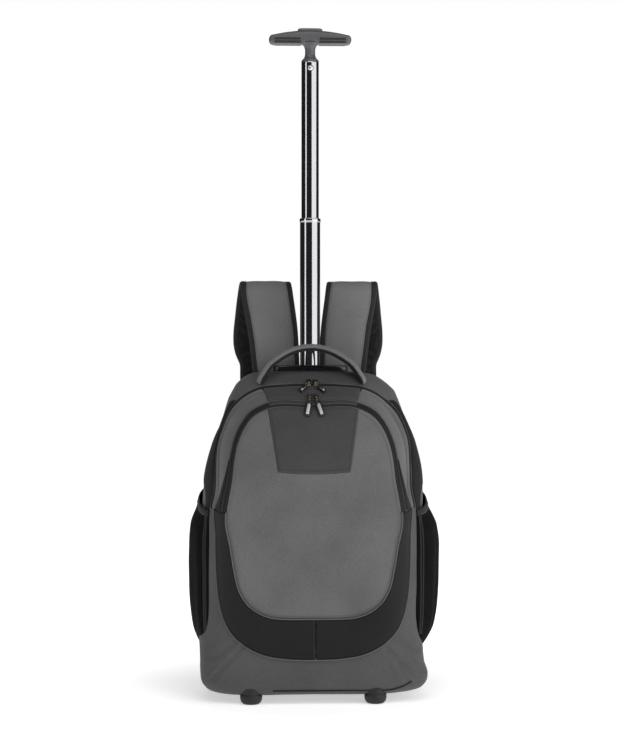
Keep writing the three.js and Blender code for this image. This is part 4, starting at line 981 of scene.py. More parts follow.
PORT_LOW, PORT_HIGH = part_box("handle_port")
main_zip_edge = outside_pocket(2 * SEAM_GAP + MAIN_ZIP_WIDTH)
grid, normals = [], []
for x in np.linspace(-TOP_HALF, TOP_HALF, 50):
    angle = math.atan2(ARCH_RISE, x)
    start = front_point(angle, main_zip_edge)
    ys = np.linspace(start.y, PORT_LOW.y - SEAM_GAP, 24)
    grid.append([top_point(start.x, y) for y in ys])
    normals.append([top_normal(start.x, y) for y in ys])
dress(pad_grid("top_panel_rear", grid, normals, 1.4 * MM, DARK_CLOTH), "root", "dark_cloth", "top_panel_rear")


# %% Trapezium patch
def face_place(x, z):
    """The angle and reach of a place on the dressed front, from its place across and up."""
    angle, radius = math.atan2(z - MIDDLE_Z, x), math.hypot(x, z - MIDDLE_Z)
    inner, outer = face_reach(angle), pocket_reach(angle)
    if radius <= inner:
        return angle, radius / inner
    if radius <= outer:
        return angle, 1 + (radius - inner) / (outer - inner)
    return angle, 2 + (radius - outer) / REACH_STEP


PATCH_LOW, PATCH_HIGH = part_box("trapezoid_patch")
PATCH_FOOT_HALF, PATCH_TOP_HALF = 55 * MM, PATCH_HIGH.x
PATCH_BOW = 3 * MM
grid, normals = [], []
for up in np.linspace(0, 1, 44):
    row, row_normals = [], []
    for across in np.linspace(-1, 1, 64):
        half = PATCH_FOOT_HALF + (PATCH_TOP_HALF - PATCH_FOOT_HALF) * up
        foot = PATCH_LOW.z + PATCH_BOW * across * across
        zip_edge = face_reach(math.atan2(PATCH_HIGH.z - MIDDLE_Z, across * half))
        top = MIDDLE_Z + math.sqrt(zip_edge ** 2 - (across * half) ** 2) - 0.1 * MM
        z = foot + (top - foot) * up
        angle, reach = face_place(across * half, z)
        normal = front_normal(angle, max(reach, 0.02))
        row_normals.append(normal)
        place = front_point(angle, reach)
        row.append(place + normal * face_slack(place) * max(0.0, 1 - reach ** 6))
    grid.append(row)
    normals.append(row_normals)
patch_rows, patch_normals = grid, normals
patch = pad_grid("trapezium_patch", patch_rows, patch_normals, 1.5 * MM, DARK_CLOTH, 2)
dress(patch, "root", "dark_cloth", "trapezoid_patch")

# %% [markdown]
# ## The side bands
# Outside the main zip a band of black cloth follows the shoulder, wraps a little way round the side and
# narrows to the seam below. It is laid on the bag's own sections, from the zip's outer edge to its own.

# %% Bands along the shoulders
BAND_TOP, BAND_FOOT = BOTTOM + 0.908 * HEIGHT, BOTTOM + 0.564 * HEIGHT
BAND_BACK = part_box("side_band_right")[1].y
band_edge = cubic_through([0.590, 0.617, 0.658, 0.690, 0.908], [0.958, 0.966, 0.988, 1.0, 1.0])


def main_zip_reach(angle):
    """The distance from the pocket's middle to the main zip's outer edge."""
    return pocket_reach(angle) + 2 * SEAM_GAP + MAIN_ZIP_WIDTH


def zip_edge_turn(z):
    """The turn where the main zip's outer edge passes a height."""
    angle = angle_at_height(z, 1, main_zip_reach)
    return turn_at_x(z, main_zip_reach(angle) * math.cos(angle))


def band_outer_turn(z):
    """The turn of the band's outer edge: on the front low down, round the side above."""
    share = (z - BOTTOM) / HEIGHT
    wrapped = turn_at_y(z, BAND_BACK)
    front_edge = turn_at_x(z, band_edge(share) * HALF_WIDTH * min(1.0, section(z)[0] / HALF_WIDTH))
    blend = min(max((share - 0.617) / 0.06, 0.0), 1.0)
    blend = blend * blend * (3 - 2 * blend)
    return front_edge + (wrapped - front_edge) * blend


for name, side in SIDES:
    grid, normals = [], []
    for z in np.linspace(BAND_FOOT, BAND_TOP, 70):
        start, end = zip_edge_turn(z), band_outer_turn(z)
        places, outs = [], []
        for turn in np.linspace(start, max(end, start + 0.02), 22):
            place, out = ring_point(z, turn), ring_normal(z, turn)
            places.append(Vector((side * place.x, place.y, place.z)))
            outs.append(Vector((side * out.x, out.y, out.z)))
        grid.append(places)
        normals.append(outs)
    band = pad_grid(f"side_band_{name}", grid, normals, 1.4 * MM, BLACK_CLOTH)
    dress(band, "root", "black_cloth", f"side_band_{name}")

# %% [markdown]
# ## Net pockets
# On each side hangs an elastic net pocket. Its foot is gathered, so it bellies out in upright folds, and its
# mouth is bound with elastic tape. The net is a thin skin lofted through its own sections, with the folds
# added as a wave round the pocket that fades towards the taut mouth.

# %% Side pockets and their bindings
NET_CENTRE_X, NET_CENTRE_Y = 160 * MM, 131 * MM + FRONT_Y
NET_HALF_DEPTH, NET_BOTTOM, NET_HEIGHT = 66 * MM, 80 * MM, 235 * MM
NET_DIP = 14 * MM
net_shares = [0.0, 0.06, 0.15, 0.30, 0.50, 0.68, 0.82, 0.94, 1.10]
net_bulge = cubic_through(net_shares, [0.38, 0.58, 0.80, 0.93, 0.98, 1.00, 0.93, 0.62, 0.30])
net_depth = cubic_through(net_shares, [0.72, 0.88, 0.97, 1.00, 1.00, 1.00, 1.00, 1.00, 1.00])
# The right pocket hangs fuller than the left one.
NET_BULGE = {"left": 32 * MM, "right": 40 * MM}
NET_FOLD_COUNT, NET_FOLD_DEPTH = 13, 1.7 * MM


def net_point(side, share, turn):
    """A point on a net pocket at a share of its height; the turn goes round from its front to its back."""
    name = "right" if side > 0 else "left"
    lift = NET_DIP * math.sin(turn) * share
    fold = math.cos(NET_FOLD_COUNT * turn + 2.0 * math.sin(3 * turn + side))
    fold *= math.exp(-((share - 0.35) / 0.4) ** 2)
    bulge = NET_BULGE[name] * net_bulge(share) + NET_FOLD_DEPTH * fold
    bulge += 1.5 * MM * noise.noise(Vector((share * 5, turn * 1.5, side * 3.0)))
    x = NET_CENTRE_X + bulge * math.cos(turn)
    y = NET_CENTRE_Y + NET_HALF_DEPTH * net_depth(share) * math.sin(turn)
    return Vector((side * x, y, NET_BOTTOM + share * NET_HEIGHT + lift - NET_DIP / 2 * share))


def net_normal(side, share, turn):
    """The outward direction on a net pocket."""
    up = net_point(side, share + 0.01, turn) - net_point(side, share - 0.01, turn)
    round_it = net_point(side, share, turn + 0.02) - net_point(side, share, turn - 0.02)
    normal = up.cross(round_it).normalized()
    return normal if normal.x * side > 0 else -normal


net_turns = np.linspace(-math.pi / 2 - 0.25, math.pi / 2 + 0.25, 110)
for name, side in SIDES:
    grid = [[net_point(side, s, t) for t in net_turns] for s in np.linspace(0.0, 1.0, 90)]
    normals = [[net_normal(side, s, t) for t in net_turns] for s in np.linspace(0.0, 1.0, 90)]
    net = pad_grid(f"net_pocket_{name}", grid, normals, 0.8 * MM, NET, 1)
    dress(net, "root", "net", f"net_pocket_{name}")
    grid = [[net_point(side, s, t) + net_normal(side, s, t) * 0.8 * MM for t in net_turns]
            for s in np.linspace(0.955, 1.004, 7)]
    normals = [[net_normal(side, s, t) for t in net_turns] for s in np.linspace(0.955, 1.004, 7)]
    tape = pad_grid(f"net_binding_{name}", grid, normals, 1.3 * MM, BINDING, 1)
    dress(tape, "root", "black_trim", f"net_binding_{name}")
    for index, back in enumerate((0.0, 0.10)):
        line = [net_point(side, s, -math.pi / 2 + 0.16 + back) for s in np.linspace(0.10, 0.99, 60)]
        ups = [net_normal(side, s, -math.pi / 2 + 0.16 + back) for s in np.linspace(0.10, 0.99, 60)]
        line = [p + u * 1.0 * MM for p, u in zip(line, ups)]
        edge = sweep(f"net_edge_{name}_{index}", line, BINDING, 3.0 * MM, 1.4 * MM, ups, 8)
        dress(edge, "root", "black_trim")

# %% [markdown]
# ## Black chrome, plastic, rubber and metal
# The telescoping tubes are steel with a bright black chrome plate: a dark mirror, whose look is wholly what
# it reflects, here the pale surroundings as upright stripes. The grip, button and port are moulded ABS; its
# fine spark-eroded grain breaks up the shine. The pulls, wheels and feet are rubber and nylon.

# %% Hard finishes
def moulded(name, colour, roughness, grain_mm=0.7, relief=0.12, variation=0.08):
    """Moulded plastic or rubber with a fine grain from its tool."""
    material, tree, shader, place = new_material(name)
    grain = add_node(
        tree, "ShaderNodeTexNoise", {"Vector": place, "Scale": 1 / (grain_mm * MM), "Detail": 2.0},
    ).outputs["Fac"]
    cloud = add_node(
        tree, "ShaderNodeTexNoise", {"Vector": place, "Scale": 35.0, "Detail": 2.0}).outputs["Fac"]
    shade = add_node(
        tree, "ShaderNodeMapRange",
        {"Value": cloud, "From Min": 0.3, "From Max": 0.7, "To Min": 1 - variation, "To Max": 1 + variation},
    ).outputs[0]
    tinted = add_node(
        tree, "ShaderNodeVectorMath", {0: linear(colour)[:3], "Scale": shade}, operation="SCALE").outputs[0]
    matt = add_node(
        tree, "ShaderNodeMapRange",
        {"Value": grain, "To Min": roughness - 0.05, "To Max": roughness + 0.05}).outputs[0]
    bump = add_node(
        tree, "ShaderNodeBump", {"Height": grain, "Strength": relief, "Distance": 0.1 * MM}).outputs[0]
    feed(tree, shader, {"Base Color": tinted, "Roughness": matt, "Normal": bump, "IOR": 1.5})
    return material


def plated(name, colour, roughness, ripple=0.0):
    """Plated or bare metal: a coloured mirror with a faint unevenness along its length."""
    material, tree, shader, place = new_material(name)
    stretched = add_node(
        tree, "ShaderNodeMapping", {"Vector": place, "Scale": (1.0, 1.0, 0.05)}).outputs[0]
    drawn = add_node(
        tree, "ShaderNodeTexNoise", {"Vector": stretched, "Scale": 260.0, "Detail": 2.0}).outputs["Fac"]
    matt = add_node(
        tree, "ShaderNodeMapRange",
        {"Value": drawn, "To Min": roughness * 0.8, "To Max": roughness * 1.3}).outputs[0]
    feed(tree, shader, {"Base Color": linear(colour), "Metallic": 1.0, "Roughness": matt})
    if ripple:
        bump = add_node(
            tree, "ShaderNodeBump", {"Height": drawn, "Strength": ripple, "Distance": 0.2 * MM}).outputs[0]
        feed(tree, shader, {"Normal": bump})
    return material


BLACK_CHROME = plated("black_chrome_tube", "#a6a6aa", 0.09)
GRIP_ABS = moulded("grip_abs_satin", "#4a4a4c", 0.42)
BUTTON_ABS = moulded("button_abs_satin", "#5c5c5e", 0.36)
PORT_ABS = moulded("port_abs_gloss", "#1c1c1d", 0.22, 1.2, 0.05)
BLACK_NYLON = moulded("moulded_nylon_black", "#161617", 0.5)
RUBBER = moulded("moulded_rubber_black", "#131314", 0.62, 0.9, 0.2)
TAB_INSERT = moulded("pull_insert_grey", "#b8b8b8", 0.5)
WHEEL_CORE = moulded("wheel_core_grey", "#3a3a3b", 0.5)
GUNMETAL = plated("gunmetal_slider", "#6f675d", 0.30, 0.1)
STEEL = plated("polished_rivet", "#c9c9c9", 0.32)
print("hard finishes ready")

# %% [markdown]
# ## The telescoping pole
# A tube is a lathed profile. The lower tube's mouth is rolled outwards into a small collar, where the upper
# one slides in. Turned bodies are made by one function that turns a short profile round the pole's middle.

# %% Turn a profile round an upright or level line
POLE_LOW, POLE_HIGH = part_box("upper_tube")
POLE_Y = (POLE_LOW.y + POLE_HIGH.y) / 2
POLE_RADIUS = POLE_HIGH.x


def turned(name, profile, material, place, axis="Z", sides=72):
    """A body of revolution from radius and height pairs; one that ends away from the middle stays open."""
    points = []
    for radius, height in profile:
        for k in range(sides):
            turn = 2 * math.pi * k / sides
            u, v = radius * math.cos(turn), radius * math.sin(turn)
            offset = {"Z": (u, v, height), "X": (height, u, v), "Y": (u, height, v)}[axis]
            points.append(place + Vector(offset))
    made = mesh_object(name, points, ring_faces(len(profile), sides, caps=False), material)
    made.data.set_sharp_from_angle(angle=math.radians(40))
    return made


def tube_profile(radius, wall, bottom, top, lip=0.0):
    """The closed profile of a tube, with a rolled lip at its top where one is wanted."""
    inner = radius - wall
    straight = top - 7 * MM if lip else top - 0.6 * MM
    outside = [(radius, bottom), (radius, bottom + 2 * MM), (radius, straight - 2 * MM), (radius, straight)]
    if lip:
        outside += [
            (radius + lip * 0.3, top - 6 * MM), (radius + lip, top - 5 * MM), (radius + lip, top - 1.2 * MM),
            (radius + lip * 0.6, top - 0.3 * MM), (radius, top)]
    else:
        outside += [(radius - 0.4 * MM, top)]
    return [(inner, bottom)] + outside + [(inner, top), (inner, bottom)]


# %% Three tubes
pole_foot = Vector((0.0, POLE_Y, 0.0))
TUBE_WALL = 1.8 * MM
lower_low, lower_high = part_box("lower_tube")
guide_low, guide_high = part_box("guide_tube")
LOWER_RADIUS = 16.25 * MM
upper = turned(
    "upper_tube", tube_profile(POLE_RADIUS, TUBE_WALL, POLE_LOW.z, POLE_HIGH.z), BLACK_CHROME, pole_foot)
dress(upper, "upper_pole", "black_chrome", "upper_tube")
lower = turned(
    "lower_tube", tube_profile(LOWER_RADIUS, TUBE_WALL, lower_low.z, lower_high.z, 0.7 * MM),
    BLACK_CHROME, pole_foot)
dress(lower, "lower_pole", "black_chrome", "lower_tube")
guide = turned(
    "guide_tube", tube_profile(guide_high.x, TUBE_WALL, guide_low.z, guide_high.z), BLACK_NYLON, pole_foot)
dress(guide, "root", "black_chrome", "guide_tube")

# %% [markdown]
# ## The T grip
# The grip is one moulding: a slim neck that flares out to the tube and into the bar, and a bar with round
# ends and a gently crowned top. Its lower half carries fine upright ribs on each side of the neck. The bar
# is lofted through sections from one end to the other, each a rounded rectangle of its own height.

# %% Bar of the grip
GRIP_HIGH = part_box("t_grip")[1]
GRIP_HALF, GRIP_DEPTH = GRIP_HIGH.x, 25 * MM
GRIP_BOTTOM, GRIP_TOP = 1.0335, 1.056
END_DROP = 7 * MM
END_ROUND = (GRIP_TOP - GRIP_BOTTOM - END_DROP) / 2


def grip_heights(x):
    """The underside and the top of the bar at a place along it."""
    straight = GRIP_HALF - END_ROUND
    away = max(abs(x) - straight, 0.0) / END_ROUND
    crown = END_DROP * max(0.0, 1 - (x / straight) ** 2)
    middle = GRIP_BOTTOM + END_ROUND
    reach = END_ROUND * math.sqrt(max(0.0, 1 - away ** 2.2))
    return middle - reach, middle + reach + crown * min(1.0, reach / END_ROUND)


BAR_SIDES = 48


def grip_section(x):
    """A squared oval section of the bar."""
    low, high = grip_heights(x)
    reach = (high - low) / 2
    depth = GRIP_DEPTH / 2 * min(1.0, (reach / END_ROUND) ** 0.6)
    ring = []
    for k in range(BAR_SIDES):
        turn = 2 * math.pi * k / BAR_SIDES
        y = math.copysign(abs(math.cos(turn)) ** 0.55, math.cos(turn)) * depth
        z = math.copysign(abs(math.sin(turn)) ** 0.62, math.sin(turn)) * reach
        ring.append(Vector((x, POLE_Y + y, (low + high) / 2 + z)))
    return ring


along_bar = GRIP_HALF * np.sin(np.linspace(-math.pi / 2 * 0.985, math.pi / 2 * 0.985, 90))
points = [p for x in along_bar for p in grip_section(x)]
bar = mesh_object("grip_bar", points, ring_faces(len(along_bar), BAR_SIDES), GRIP_ABS)
dress(bar, "upper_pole", "satin_plastic", "t_grip")

# %% Neck, ribs, button and rivet
NECK_BASE, NECK_RADIUS = POLE_HIGH.z + 0.3 * MM, 8.2 * MM
neck_height = GRIP_BOTTOM - NECK_BASE
# share of height and how far the neck has flared to the tube's radius
neck_rows = [
    (0.00, 1.00), (0.06, 1.00), (0.12, 0.86), (0.20, 0.48), (0.28, 0.22), (0.36, 0.08), (0.46, 0.0),
    (0.70, 0.0), (0.80, 0.10), (0.88, 0.24), (0.94, 0.42), (1.00, 0.72), (1.08, 1.15)]
neck_profile = [(0.0, NECK_BASE)]
for up, wide in neck_rows:
    neck_profile.append((NECK_RADIUS + (POLE_RADIUS - NECK_RADIUS) * wide, NECK_BASE + neck_height * up))
neck_profile.append((0.0, neck_profile[-1][1]))
dress(turned("grip_neck", neck_profile, GRIP_ABS, pole_foot), "upper_pole", "satin_plastic")

RIB_PITCH, RIB_FROM, RIB_TO = 2.8 * MM, 15 * MM, 57 * MM
RIB = small_bar("grip_rib", 7.5 * MM, 1.3 * MM, 1.0 * MM, 4)
for name, face_side in (("front", -1), ("back", 1)):
    for label, side in SIDES:
        line = [Vector((side * x, POLE_Y + face_side * (GRIP_DEPTH / 2 - 0.2 * MM), GRIP_BOTTOM + 5.2 * MM))
                for x in np.linspace(RIB_FROM, RIB_TO, 40)]
        ups = [Vector((0, face_side, 0))] * len(line)
        bed = sweep(f"grip_bed_{name}_{label}", line, BLACK_NYLON, 9 * MM, 0.9 * MM, ups, 16, 5)
        dress(bed, "upper_pole", "black_plastic")
        ribs = repeat_along(f"grip_ribs_{name}_{label}", line, ups, RIB, RIB_PITCH, 1.0, GRIP_ABS)
        dress(ribs, "upper_pole", "satin_plastic")

BUTTON_LOW, BUTTON_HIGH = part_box("grip_button")
half, deep = BUTTON_HIGH.x, (BUTTON_HIGH.y - BUTTON_LOW.y) / 2
# share of the button's height and of its outline
levels = [(0.0, 1.0), (0.70, 1.0), (0.84, 0.985), (0.93, 0.94), (0.98, 0.85), (1.0, 0.70), (1.0, 0.30)]
points, count = [], 64
for up, size in levels:
    for k in range(count):
        turn = 2 * math.pi * k / count
        shift = math.copysign(half - deep, math.cos(turn))
        x = shift + deep * size * math.cos(turn) - (1 - size) * math.copysign(deep * 0.4, math.cos(turn))
        z = BUTTON_LOW.z + (BUTTON_HIGH.z - BUTTON_LOW.z) * up - 0.8 * MM * (x / half) ** 2 * up
        points.append(Vector((x, POLE_Y + deep * size * math.sin(turn), z)))
button = mesh_object("grip_button", points, ring_faces(len(levels), count), BUTTON_ABS)
dress(button, "button", "satin_plastic", "grip_button")

RIVET_LOW, RIVET_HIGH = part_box("rivet")
rivet_place = Vector((0.0, POLE_Y - POLE_RADIUS, (RIVET_LOW.z + RIVET_HIGH.z) / 2))
dome = [(0.0, -1.7), (1.6, -1.65), (3.0, -1.3), (3.9, -0.8), (4.3, -0.2), (4.3, 1.0)]
head = turned("rivet_head", [(r * MM, h * MM) for r, h in dome], STEEL, rivet_place, "Y", 40)
dress(head, "upper_pole", "gunmetal", "rivet")
washer = [(3.9, -0.5), (4.9, -0.4), (5.0, 0.2), (5.0, 1.2)]
ring = turned("rivet_washer", [(r * MM, h * MM) for r, h in washer], BLACK_NYLON, rivet_place, "Y", 40)
dress(ring, "upper_pole", "black_plastic")

# %% [markdown]
# ## The shoulder straps
# Each strap is a long pad of foam between a pale cloth, outside, and a black spacer mesh, inside, with a
# dark tape bound round its edges. It rises from the seam behind the bag, folds back over itself and hangs
# down the back, so the front shows the pale side of its near half and the mesh of its far half. It is
# modelled as a strip along a curve, because a flat strap keeps its width wherever it bends.

# %% The strap's path and cross section
STRAP_SPREAD, STRAP_BACKSET, STRAP_REACH = 84.5 * MM, 62 * MM, 168 * MM
STRAP_WIDTH, STRAP_THICKNESS = 80 * MM, 14 * MM
STRAP_FOOT_Z = 0.481
STRAP_BASE_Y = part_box("shoulder_strap_right")[0].y + STRAP_THICKNESS * 0.40
# share of spread, backset, reach, width and thickness
STRAP_PATH = [
    (0.62, 0.000, 0.00, 0.86, 0.80), (0.64, 0.016, 0.17, 0.90, 1.00), (0.70, 0.090, 0.53, 0.96, 1.00),
    (0.80, 0.190, 0.86, 1.00, 1.00), (0.83, 0.300, 0.97, 1.00, 0.95), (0.85, 0.470, 1.00, 1.00, 0.90),
    (0.88, 0.650, 0.94, 1.00, 0.95), (0.95, 0.860, 0.72, 0.97, 1.00), (1.00, 1.000, 0.44, 0.95, 1.00),
    (0.93, 0.900, 0.25, 0.83, 0.86), (0.90, 0.780, 0.05, 0.86, 0.95), (0.84, 0.690, -0.25, 0.82, 0.95),
    (0.82, 0.620, -0.49, 0.66, 0.70),
]


def spline_through(rows, steps):
    """Rows of numbers joined by a uniform Catmull-Rom curve, as many evenly spaced rows."""
    rows = np.array(rows, float)
    padded = np.vstack([2 * rows[0] - rows[1], rows, 2 * rows[-1] - rows[-2]])
    dense = []
    for i in range(1, len(padded) - 2):
        a, b, c, d = padded[i - 1:i + 3]
        for t in np.linspace(0, 1, 24, endpoint=i == len(padded) - 3):
            dense.append(0.5 * (
                2 * b + (c - a) * t + (2 * a - 5 * b + 4 * c - d) * t ** 2
                + (3 * b - a - 3 * c + d) * t ** 3))
    dense = np.array(dense)
    lengths = np.concatenate([[0], np.cumsum(np.linalg.norm(np.diff(dense[:, :3], axis=0), axis=1))])
    wanted = np.linspace(0, lengths[-1], steps)
    return np.stack([np.interp(wanted, lengths, dense[:, k]) for k in range(dense.shape[1])], axis=1)


def ribbon_frames(rows, across):
    """Places, directions along, across and outwards, widths and thicknesses along a ribbon."""
    frames = []
    for i, row in enumerate(rows):
        before, after = rows[max(i - 1, 0)], rows[min(i + 1, len(rows) - 1)]
        along = Vector(after[:3] - before[:3]).normalized()
        wide = (across - along * across.dot(along)).normalized()
        frames.append((Vector(row[:3]), along, wide, wide.cross(along), row[3], row[4]))
    return frames


def strap_frames(side):
    """The frames along one shoulder strap."""
    rows = [
        (side * x * STRAP_SPREAD, STRAP_BASE_Y + y * STRAP_BACKSET, STRAP_FOOT_Z + z * STRAP_REACH,
         width * STRAP_WIDTH, thick * STRAP_THICKNESS) for x, y, z, width, thick in STRAP_PATH]
    return ribbon_frames(spline_through(rows, 150), Vector((1, 0, 0)))


def ribbon_half(name, frames, outer, material, columns=26, edge=0.93, ripple=0.5, swell=1.0):
    """One face of a padded ribbon: a closed half with a crowned surface, on its outer or inner side."""
    top, rest = [], []
    for i, (place, along, wide, out, width, thick) in enumerate(frames):
        end = min(1.0, (min(i, len(frames) - 1 - i) + 0.4) / 3)
        for u in np.linspace(-edge, edge, columns):
            crown = (1 - abs(u) ** 3.2) ** 0.5 * end ** 0.5
            base = place + wide * (u * width / 2)
            move = ripple * MM * noise.noise(base * 26) * crown
            lift = (thick / 2 * crown + move) * swell
            top.append(base + out * (lift if outer else -lift))
            rest.append(base)
    return mesh_object(name, top + rest, shell_faces(len(frames), columns), material)


def ribbon_line(frames, u, lift):
    """A line along a ribbon at a share of its half width, lifted off its outer face, and its ups."""
    crown = (1 - abs(u) ** 3.2) ** 0.5
    line = [p + w * (u * width / 2) + o * (thick / 2 * crown + lift) for p, _, w, o, width, thick in frames]
    return line, [o for _, _, _, o, _, _ in frames]


# %% Two straps with their bindings and stitches
EDGE_TAPE = 12 * MM
for name, side in SIDES:
    frames = strap_frames(side)
    outer = ribbon_half(f"strap_face_{name}", frames, True, STRAP_CLOTH)
    dress(outer, "root", "pale_cloth", f"shoulder_strap_{name}")
    inner = ribbon_half(f"strap_lining_{name}", frames, False, LINING)
    dress(inner, "root", "net")
    for label, u in (("a", -0.90), ("b", 0.90)):
        line = [p + w * (u * width / 2) for p, _, w, _, width, _ in frames]
        ups = [o for _, _, _, o, _, _ in frames]
        tape = sweep(f"strap_tape_{name}_{label}", line, BINDING, EDGE_TAPE, 9.6 * MM, ups, 16, 2.6)
        dress(tape, "root", "black_trim")
        line, ups = ribbon_line(frames[4:-4], math.copysign(0.80, u), 0.9 * MM)
        stitches = repeat_along(
            f"strap_stitches_{name}_{label}", line, ups, STITCH, 4.2 * MM, 1.0, DARK_THREAD)
        dress(stitches, "root", "black_trim")

# %% [markdown]
# ## The carry handle
# The handle on top is a padded bar: a pale cloth face above, a black underside that is painted shade for the
# side facing down, and a welt of piping where the two are sewn together. Its ends are sewn flat to the bag.
# It is made with the strap's own functions.

# %% Carry handle
CARRY_SPAN, CARRY_RISE, CARRY_WIDTH = 166 * MM, 58 * MM, 28 * MM
CARRY_THICKNESS, CARRY_BACKSET = 11 * MM, 26 * MM
CARRY_FOOT_Z = 0.487
carry_foot_y = bag_front(CARRY_SPAN / 2, CARRY_FOOT_Z)
CARRY_PATH = [
    (-1.00, 0.00, 0.00), (-0.93, 0.16, 0.21), (-0.74, 0.52, 0.57), (-0.38, 0.88, 0.89), (0.00, 1.00, 1.00),
    (0.38, 0.88, 0.89), (0.74, 0.52, 0.57), (0.93, 0.16, 0.21), (1.00, 0.00, 0.00)]
CARRY_SEAM_DROP = 2.4 * MM
carry_rows = [
    (x * CARRY_SPAN / 2, carry_foot_y + y * CARRY_BACKSET, CARRY_FOOT_Z + z * CARRY_RISE,
     CARRY_WIDTH, CARRY_THICKNESS) for x, y, z in CARRY_PATH]
carry_frames = ribbon_frames(spline_through(carry_rows, 110), Vector((0, 1, 0)))
if carry_frames[55][3].z < 0:
    carry_frames = [(p, a, -w, -o, width, thick) for p, a, w, o, width, thick in carry_frames]
carry_frames = [(p - o * CARRY_SEAM_DROP, a, w, o, width, thick) for p, a, w, o, width, thick in carry_frames]
handle_top = ribbon_half("carry_handle_face", carry_frames, True, STRAP_CLOTH, 20, 0.97, 0.3, 1.42)
dress(handle_top, "root", "pale_cloth", "carry_handle")
# The underside is black cloth: painted shade for the side of the handle that faces down.
handle_shaded_underside = ribbon_half("carry_handle_underside", carry_frames, False, BLACK_CLOTH, 20, 0.97, 0.3, 0.62)
dress(handle_shaded_underside, "root", "dark_cloth")
for label, u in (("front", -0.99), ("back", 0.99)):
    line = [p + w * (u * width / 2) for p, _, w, _, width, _ in carry_frames]
    welt = sweep(
        f"carry_handle_welt_{label}", line, BINDING, 2.6 * MM, 2.6 * MM, [f[3] for f in carry_frames], 10)
    dress(welt, "root", "black_trim")

# %% [markdown]
# ## The back pad
# The bag's back is a foam pad under mesh, sewn through along two upright channels so that air can pass. The
# pad is blown up by Blender's cloth simulation: a closed skin, a little smaller than the pad, is given
# pressure, and the seams are pressed in afterwards where the channels are.

# %% Inflate the back pad
PAD_LOW, PAD_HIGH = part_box("back_pad")
PAD_CORNER, PAD_START, PAD_CAP = 40 * MM, 8.5 * MM, 7 * MM
CHANNELS = (-42 * MM, 42 * MM)


def pad_half_width(z):
    """Half the pad's width at a height, less at its rounded corners."""
    half = PAD_HIGH.x - 3 * MM
    away = max(PAD_CORNER - (z - PAD_LOW.z), PAD_CORNER - (PAD_HIGH.z - z), 0.0)
    return half - PAD_CORNER + math.sqrt(max(PAD_CORNER ** 2 - min(away, PAD_CORNER) ** 2, 0.0))


def padded_slab():
    """The pad's starting shape: an even slab on the bag's back, rounded at its rim."""
    grid, outs = [], []
    for z in np.linspace(PAD_LOW.z + 3 * MM, PAD_HIGH.z - 3 * MM, 90):
        half = pad_half_width(z)
        grid.append([Vector((x, bag_back(x, z) + 0.6 * MM, z)) for x in np.linspace(-half, half, 60)])
        outs.append([Vector((0, 1, 0))] * 60)
    return pad_grid("back_pad", grid, outs, PAD_START, LINING, 4)


def inflated(piece, voxel, pressure, cap, frames=20):
    """The piece blown up by the cloth solver, with each point held within a distance of its start."""
    remesh = piece.modifiers.new("even", "REMESH")
    remesh.mode, remesh.voxel_size = "VOXEL", voxel
    start = np.array([v.co for v in apply_modifiers(piece).vertices])
    cloth = piece.modifiers.new("blow", "CLOTH")
    cloth.settings.use_pressure = True
    cloth.settings.uniform_pressure_force = pressure
    cloth.settings.effector_weights.gravity = 0
    cloth.point_cache.frame_start, cloth.point_cache.frame_end = 1, frames
    for frame_number in range(1, frames + 1):
        bpy.context.scene.frame_set(frame_number)
    blown = apply_modifiers(piece)
    bpy.context.scene.frame_set(1)
    moved = np.array([v.co for v in blown.vertices]) - start
    lengths = np.linalg.norm(moved, axis=1, keepdims=True)
    moved *= np.minimum(1.0, cap / np.maximum(lengths, 1e-9))
    for vertex, place in zip(blown.vertices, start + moved):
        vertex.co = place
    print(f"{piece.name} moved up to {lengths.max() / MM:.1f} mm before the cap")


pad = padded_slab()
inflated(pad, 5 * MM, 4.0, PAD_CAP)
smooth = pad.modifiers.new("smooth", "SUBSURF")
smooth.levels = smooth.render_levels = 1
plain = apply_modifiers(pad)
for vertex in plain.vertices:
    x, y, z = vertex.co
    rest = bag_back(x, min(max(z, PAD_LOW.z), PAD_HIGH.z))
    proud = y - rest
    if proud > 2 * MM:
        pressed = sum(math.exp(-((x - c) / (6 * MM)) ** 2) for c in CHANNELS)
        pressed = min(pressed, 1.0) * (1 if PAD_LOW.z + 0.03 < z < PAD_HIGH.z - 0.03 else 0.4)
        vertex.co.y = rest + proud - pressed * min(6.5 * MM, proud - 1.5 * MM)
    vertex.co.y = min(max(vertex.co.y, rest + 0.3 * MM), PAD_HIGH.y + 4 * MM)
shade_smooth(plain)
if not plain.materials:
    plain.materials.append(LINING)
dress(pad, "root", "black_cloth", "back_pad")
for label, x in (("left", CHANNELS[0]), ("right", CHANNELS[1])):
    heights = np.linspace(PAD_LOW.z + 0.035, PAD_HIGH.z - 0.035, 60)
    line = [Vector((x, bag_back(x, z) + 6.2 * MM, z)) for z in heights]
    tape = sweep(f"pad_channel_{label}", line, BINDING, 7 * MM, 1.6 * MM, [Vector((0, 1, 0))] * 60, 8, 3)
    dress(tape, "root", "black_trim")

# %% [markdown]
# ## Ladder locks and lower webbing
# A strap ends in a ladder lock, a moulded buckle with bars that the webbing is threaded round. The webbing
# runs from there to the bag's lower corner, bowing out a little because it hangs slack.

# %% Buckles and webbing
LOCK_BAR = 4 * MM
